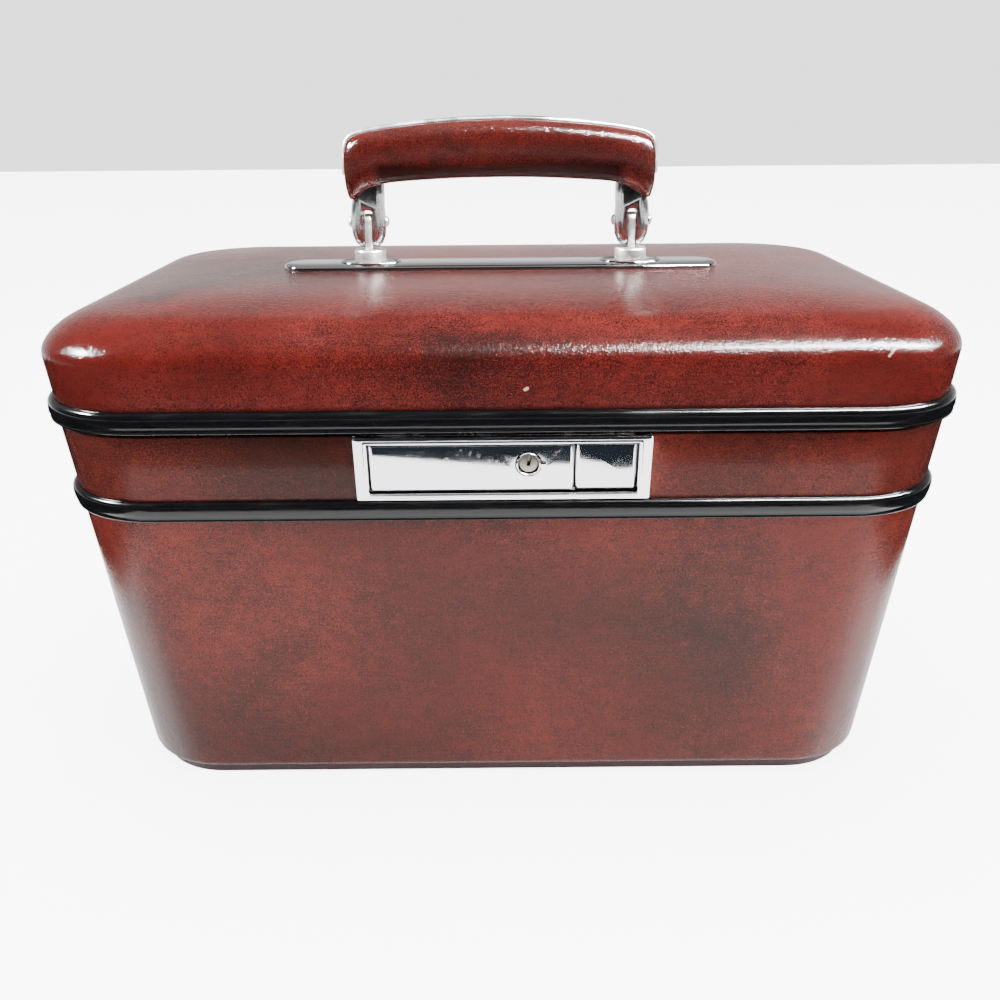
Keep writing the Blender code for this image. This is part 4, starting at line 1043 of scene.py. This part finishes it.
# ---------------- tray
def build_tray(plastic):
    """Moulded tray with rounded wells: one wide at the front, three behind."""
    low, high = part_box("tray")
    radius, wall, floor, half = 0.032, 0.002, low.z + 0.0018, 0.001
    step_z, split = high.z - 0.006, -0.02
    section = [(0.0026, low.z), (0.001, low.z + 0.0006), (0.0, low.z + 0.0022), (0.0, high.z - 0.0006),
               (0.0003, high.z - 0.0001), (0.0007, high.z)]
    tray = loose(loft(stack(section, high.x, high.y, radius)), "lift_out_tray")
    opening = [(wall, step_z), (wall, high.z + 0.01)]
    cut(tray, loft(stack(opening, high.x, high.y, radius)))
    inner = inner_x, inner_y = (high.x - wall, high.y - wall)
    third = inner_x / 3
    across = ((-inner_x, -third - half), (-third + half, third - half), (third + half, inner_x))
    wells = [(-inner_x, inner_x, -inner_y, split - half)]
    wells += [(x0, x1, split + half, inner_y) for x0, x1 in across]
    section = [(0.003, floor), (0.0012, floor + 0.0005), (0.0003, floor + 0.0016), (0.0, floor + 0.004),
               (0.0, step_z + 0.002)]
    for x0, x1, y0, y1 in wells:
        centre, size = ((x0 + x1) / 2, (y0 + y1) / 2), ((x1 - x0) / 2, (y1 - y0) / 2)
        rings = []
        for inset, z in section:
            outline = well_plan(*size, inset, centre, inner, radius - wall)
            rings.append([(x + centre[0], y + centre[1], z) for x, y in outline])
        cut(tray, loft(rings))
    finger = [(-0.013, high.z + 0.004), (-0.0125, high.z - 0.004), (-0.0095, high.z - 0.0085),
              (0.0095, high.z - 0.0085), (0.0125, high.z - 0.004), (0.013, high.z + 0.004)]
    for x in (-high.x, high.x):
        cut(tray, prism(finger, x - 0.004, x + 0.004))
    dress(tray, "tray", plastic, ["tray"], 35)


def well_plan(hx, hy, inset, centre, limits, big):
    """Well outline about its own centre: the tray's big radius at its outer corners, 8 mm at the others."""
    points = []
    for index, (sx, sy) in enumerate(QUARTERS):
        at_edge_x = abs(centre[0] + sx * hx) > limits[0] - 1e-6
        at_edge_y = abs(centre[1] + sy * hy) > limits[1] - 1e-6
        radius = (big if at_edge_x and at_edge_y else 0.008) - inset
        points += quarter((sx * (hx - inset - radius), sy * (hy - inset - radius)), radius, index, 12)
    return points


# ---------------- stage, light and camera
def flat_sheet(name, z, spans, material):
    """Level rectangles, each (x0, x1, y0, y1)."""
    bm = bmesh.new()
    for x0, x1, y0, y1 in spans:
        bm.faces.new([bm.verts.new((x, y, z)) for x, y in ((x0, y0), (x1, y0), (x1, y1), (x0, y1))])
    sheet = loose(bm, name)
    sheet.data.materials.append(material)
    return sheet


def build_stage():
    """Bright floor, and a black card round the case that only its reflections show."""
    size, seen_glow, mirrored_glow = 4.0, 6.5, 0.95
    material, tree, shader = new_material("floor_white", Roughness=0.45, Specular_IOR_Level=0.25,
                                          Emission_Color=(1.0, 1.0, 1.0, 1.0))
    shade = cloud(tree, place(tree), 3.0, 2.0)
    path = add_node(tree, "LightPath")
    glow = plus(tree, times(tree, path.outputs["Is Camera Ray"], seen_glow),
                times(tree, path.outputs["Is Glossy Ray"], mirrored_glow))
    feed(tree, shader, Base_Color=mix(tree, shade, (0.84, 0.84, 0.85), (0.87, 0.87, 0.87)),
         Emission_Strength=glow)
    floor = flat_sheet("floor", 0.0, [(-size, size, -size, size)], material)
    material, tree, shader = new_material("card_black", Roughness=0.9, Specular_IOR_Level=0.0)
    shade = cloud(tree, place(tree), 8.0, 2.0)
    feed(tree, shader, Base_Color=mix(tree, shade, (0.004, 0.006, 0.009), (0.009, 0.01, 0.012)))
    spans = [(-1.4, 1.4, -1.8, -0.336), (-1.4, -0.29, -0.33, 0.6), (0.29, 1.4, -0.33, 0.6)]
    card = flat_sheet("dark_card", 0.002, spans, material)
    card.visible_camera = False
    card.visible_shadow = False
    card.visible_diffuse = False


def area_light(name, at, towards, size, power, along=(1, 0, 0)):
    """Rectangular light aimed at a point, its long side as near along as the aim allows."""
    data = bpy.data.lights.new(name, "AREA")
    data.shape = "RECTANGLE"
    data.size, data.size_y = size
    data.energy = power
    lamp = bpy.data.objects.new(name, data)
    bpy.context.scene.collection.objects.link(lamp)
    lamp.location = at
    back = (Vector(at) - Vector(towards)).normalized()
    side = Vector(along)
    side = (side - side.dot(back) * back).normalized()
    lamp.rotation_euler = Matrix((side, back.cross(side), back)).transposed().to_euler()
    return lamp


def build_light():
    """Studio world, three soft lights that reflections don't show, two gleams that only reflections show."""
    world = bpy.data.worlds.new("studio")
    bpy.context.scene.world = world
    world.use_nodes = True
    tree = world.node_tree
    ground = tree.nodes["Background"]
    way = add_node(tree, "TexCoord").outputs["Generated"]
    height = part(tree, way, "Z")
    behind = stretch(tree, part(tree, way, "Y"), 0.0, 0.75, 0.03, 1.00)
    behind = times(tree, behind, stretch(tree, height, 0.1, 0.3, 1.0, 0.34))
    above = stretch(tree, height, 0.5, 0.95, 0.0, 0.26)
    mirrored = mix(tree, maths(tree, "MAXIMUM", behind, above), (0.0, 0.0, 0.0), (1.0, 1.0, 1.0))
    seen = add_node(tree, "LightPath").outputs["Is Camera Ray"]
    colour = mix(tree, seen, mirrored, (2.2, 2.2, 2.2))
    tree.links.new(colour, ground.inputs["Color"])
    ground.inputs["Strength"].default_value = 1.0
    for name, at, aim_z, size, power in (("key", (-0.98, -0.72, 1.25), 0.12, (0.4, 0.3), 15.0),
                                         ("fill", (0.6, -0.76, 1.3), 0.15, (0.46, 0.3), 15.0),
                                         ("top", (0.0, 0.1, 1.6), 0.1, (1.6, 1.2), 88.0)):
        area_light(name, at, (0, 0, aim_z), size, power).visible_glossy = False
    for name, at, size, power, along in (
            ("gleam_left", (-1.66, -0.29, 1.33), (0.36, 0.18), 340.0, (1, -0.9, 0)),
            ("gleam_right", (1.01, -0.57, 1.33), (1.55, 0.14), 720.0, (1.25, 0.88, -0.5))):
        area_light(name, at, (0, 0, 0.15), size, power, along).visible_diffuse = False


def build_camera():
    """Camera solved on the photograph's edges."""
    pitch, yaw, roll = 0.3709, 0.0015, -0.008
    place_at = (-0.0017, -0.4602, 0.27)
    data = bpy.data.cameras.new("camera")
    data.sensor_width = 36.0
    data.lens = 37.27
    data.clip_start = 0.01
    camera = bpy.data.objects.new("camera", data)
    bpy.context.scene.collection.objects.link(camera)
    forward = Vector((sin(yaw) * cos(pitch), cos(yaw) * cos(pitch), -sin(pitch)))
    right = Vector((cos(yaw), -sin(yaw), 0.0))
    up = right.cross(forward)
    level_right = cos(roll) * right + sin(roll) * up
    level_up = -sin(roll) * right + cos(roll) * up
    turn = Matrix((level_right, level_up, -forward)).transposed()
    camera.matrix_world = Matrix.Translation(place_at) @ turn.to_4x4()
    bpy.context.scene.camera = camera


# ---------------- build
PLATING = (                                  # name, clean colour, dull colour, roughness, grime, scratches
    ("chrome_polished", (0.92, 0.92, 0.93), (0.24, 0.2, 0.16), 0.06, 0.35, 0.03),
    ("chrome_worn", (0.8, 0.79, 0.75), (0.28, 0.22, 0.15), 0.34, 0.8, 0.072),
    ("chrome_cast", (0.84, 0.86, 0.86), (0.24, 0.2, 0.16), 0.14, 0.6, 0.06),
    ("lock_pan_dark", (0.07, 0.07, 0.07), (0.03, 0.03, 0.03), 0.35, 0.7, 0.06),
    ("plated_steel", (0.58, 0.58, 0.58), (0.3, 0.27, 0.24), 0.24, 0.45, 0.06),
    ("chrome_strap", (0.93, 0.93, 0.92), (0.4, 0.36, 0.3), 0.3, 0.4, 0.048),
    ("key_barrel_worn", (0.28, 0.26, 0.22), (0.12, 0.1, 0.08), 0.3, 0.7, 0.072))
LID_SCUFFS = [((0.133, -0.1114, 0.1862), (0.1362, -0.1093, 0.189), 0.0006),
              ((0.1338, -0.1108, 0.188), (0.1352, -0.1112, 0.1868), 0.0005),
              ((0.0078, -0.1108, 0.1752), (0.0086, -0.1108, 0.1757), 0.0008)]
BODY_CUTS = [((0.0655, -0.0955, 0.05), (0.0668, -0.0965, 0.057), 0.0006)]


def main():
    lid_vinyl = make_vinyl(
        "vinyl_lid", (0.108, 0.0115, 0.0085), (0.205, 0.0205, 0.0145), (0.015, 0.0048, 0.004),
        cover=-0.05, shine=0.2, coat=0.08, scuffs=LID_SCUFFS)
    # the body vinyl's height range paints shade: the wall darker up high, lighter near the floor
    body_vinyl = make_vinyl(
        "vinyl_body", (0.13, 0.019, 0.0135), (0.222, 0.0325, 0.0215), (0.028, 0.0118, 0.009),
        cover=-0.03, shine=0.14, coat=0.07, seed=3.1, painted_shade_up_wall=(0.116, 0.14, 0.0, 0.22), cuts=BODY_CUTS)
    # the grip vinyl's dark patch is painted shade under the grip's middle span
    grip_vinyl = make_vinyl(
        "vinyl_grip", (0.198, 0.0215, 0.016), (0.305, 0.033, 0.023), (0.022, 0.0068, 0.0055),
        cover=0.0, shine=0.5, coat=0.12, seed=1.7, painted_underside_shade=[(0.054, 0.2422, 0.2466)])
    trim = make_trim()
    chrome, worn, cast, dark_pan, steel, strap, brass = [make_plating(*row) for row in PLATING]
    satin = make_satin()

    build_body_cover(body_vinyl)
    build_lid_cover(lid_vinyl)
    build_band("lower_trim", "lower_band", body_ring, "body", trim)
    build_band("upper_trim", "upper_band", rim_ring, "lid", trim)
    build_foot(make_board("foot_maroon", (0.03, 0.006, 0.008), (0.055, 0.012, 0.014), 0.45))
    build_rims(steel)
    build_body_lining(satin)
    build_lid_lining(satin)
    build_ledges(satin)
    build_mirror(make_mirror(), chrome)
    build_hinges(chrome, steel)
    build_bezel(chrome)
    build_hasp(chrome, brass)
    build_button(chrome)
    build_lock_back(steel, dark_pan)
    build_handle_plate(chrome)
    build_posts(worn)
    build_forks(cast, worn)
    build_grip(grip_vinyl, strap)
    build_tray(make_board("tray_moulding", (0.36, 0.275, 0.2), (0.43, 0.335, 0.25), 0.34))
    for name in ("striker", "hasp_pin", "handle_nut_left", "handle_nut_right"):
        paint_node(name, steel)
    build_stage()
    build_light()
    build_camera()


main()
bpy.context.view_layer.update()
